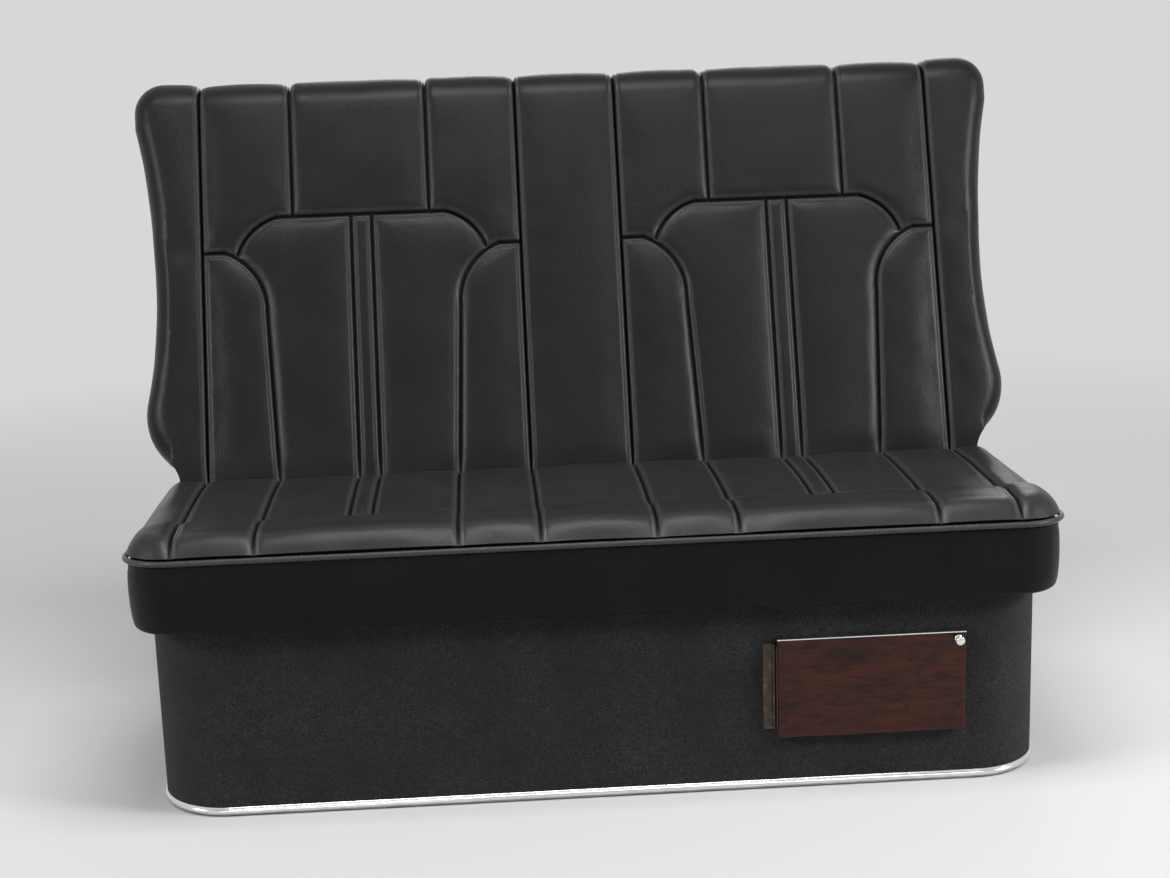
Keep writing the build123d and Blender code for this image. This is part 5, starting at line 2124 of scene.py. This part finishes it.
# name, place, size and power in watts of each soft lamp, all of them turned to the bench
LAMPS: tuple[tuple[str, Point3, Point2, float], ...] = (
    ("window_left", (-2.6, -1.25, 1.6), (0.8, 0.55), 34.0),
    ("window_right", (2.6, -1.25, 1.6), (0.8, 0.55), 56.0),
    ("ceiling", (0.0, -0.6, 2.9), (2.0, 0.8), 49.0),
    ("ceiling_right", (1.25, -2.6, 2.6), (1.3, 0.9), 10.0),
    ("front", (-1.1, -3.6, 1.2), (1.6, 0.8), 8.0),
    ("rear", (0.6, 3.4, 2.0), (2.4, 1.6), 32.0),
)


@dataclass
class Studio:
    """Pale floor, soft lamps and the photograph's viewpoint."""

    eye: Point3 = (-0.1547, -3.085, 1.2409)
    aim: Point3 = (0.0, 0.05, 0.470)
    roll: float = -0.03235
    lens: float = 63.5
    sensor: float = 36.0
    floor_radius: float = 40.0
    glow: float = 0.14

    def aimed(self, data: Any, place: Point3, roll: float = 0.0) -> Piece:
        """Stand a camera or a lamp at a place and turn it to the bench.

        Args:
            data: The camera's or the lamp's data.
            place: Where it stands.
            roll: Its turn about its own axis.

        Returns:
            The object.
        """
        piece = bpy.data.objects.new(data.name, data)
        bpy.context.scene.collection.objects.link(piece)
        turn = (Vector(self.aim) - Vector(place)).to_track_quat("-Z", "Y").to_matrix().to_4x4()
        piece.rotation_euler = (turn @ Matrix.Rotation(roll, 4, "Z")).to_euler()
        piece.location = place
        return piece

    def camera(self) -> None:
        """Stand the camera where the photograph was taken."""
        data = bpy.data.cameras.new("camera")
        data.sensor_width = self.sensor
        data.lens = self.lens
        bpy.context.scene.camera = self.aimed(data, self.eye, self.roll)

    def floor(self) -> None:
        """Lay the pale floor."""
        angle = np.linspace(0, math.tau, 96, endpoint=False)
        rim = np.stack([np.cos(angle), np.sin(angle), np.zeros_like(angle)], -1) * self.floor_radius
        piece = new_object("studio_floor", rim, [list(range(len(rim)))])
        piece.data.materials.append(StudioFloor().material())

    def lamps(self) -> None:
        """Hang the soft rectangular lamps."""
        for name, place, size, power in LAMPS:
            data = bpy.data.lights.new(name, "AREA")
            data.shape = "RECTANGLE"
            data.size, data.size_y = size
            data.energy = power
            self.aimed(data, place)

    def world(self) -> None:
        """A pale surround that lights softly."""
        world = bpy.data.worlds.new("studio")
        world.use_nodes = True
        tree = world.node_tree
        background = tree.nodes["Background"]
        background.inputs["Color"].default_value = (1.0, 1.0, 1.0, 1.0)
        background.inputs["Strength"].default_value = self.glow
        pale = tree.nodes.new("ShaderNodeBackground")
        pale.inputs["Color"].default_value = (*PALE_PAPER, 1.0)
        mix = tree.nodes.new("ShaderNodeMixShader")
        for number, source in enumerate((background_rays(tree), background.outputs[0], pale.outputs[0])):
            tree.links.new(source, mix.inputs[number])
        tree.links.new(mix.outputs[0], tree.nodes["World Output"].inputs["Surface"])
        bpy.context.scene.world = world

    def build(self) -> None:
        """Set up the studio."""
        self.camera()
        self.floor()
        self.world()
        self.lamps()
        bpy.context.scene.view_settings.view_transform = "Standard"


def main() -> None:
    """Build the bench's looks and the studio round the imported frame."""
    logging.basicConfig(level=logging.INFO, format="%(message)s")
    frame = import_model()
    finishes = Wardrobe()
    Studio().build()
    Joinery(frame["nodes"], finishes).build()

    plan = SeatPlan(junction_y=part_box("seat_fascia")[0].y + SeatPlan.depth)
    back = BackFrame(junction_y=plan.junction_y)
    pattern = Pattern()
    inner, outer = pattern.centre - pattern.half, pattern.centre + pattern.half
    # name, node, seed, left seam, right seam and pattern
    pads = (
        ("left_place", "back_pad_left", 11, -outer, -inner, pattern),
        ("centre_strip", "back_pad_centre", 17, -inner, inner, None),
        ("right_place", "back_pad_right", 23, inner, outer, pattern),
    )
    for name, node, seed, x0, x1, sewn in pads:
        BackPad(name=name, node=node, x0=x0, x1=x1, frame=back, seed=seed, pattern=sewn).build(finishes)
    for side in Side:
        Bolster(side=side, frame=back).build(finishes)
    SeatCushion(plan=plan).build(finishes)
    SeatFascia(plan).build(finishes)
    BackTurnover(back).build(finishes)
    BaseBead(finishes).build()
    DoorKnob(finishes).build()
    Fasteners(back, finishes).build()


if __name__ == "__main__":
    main()
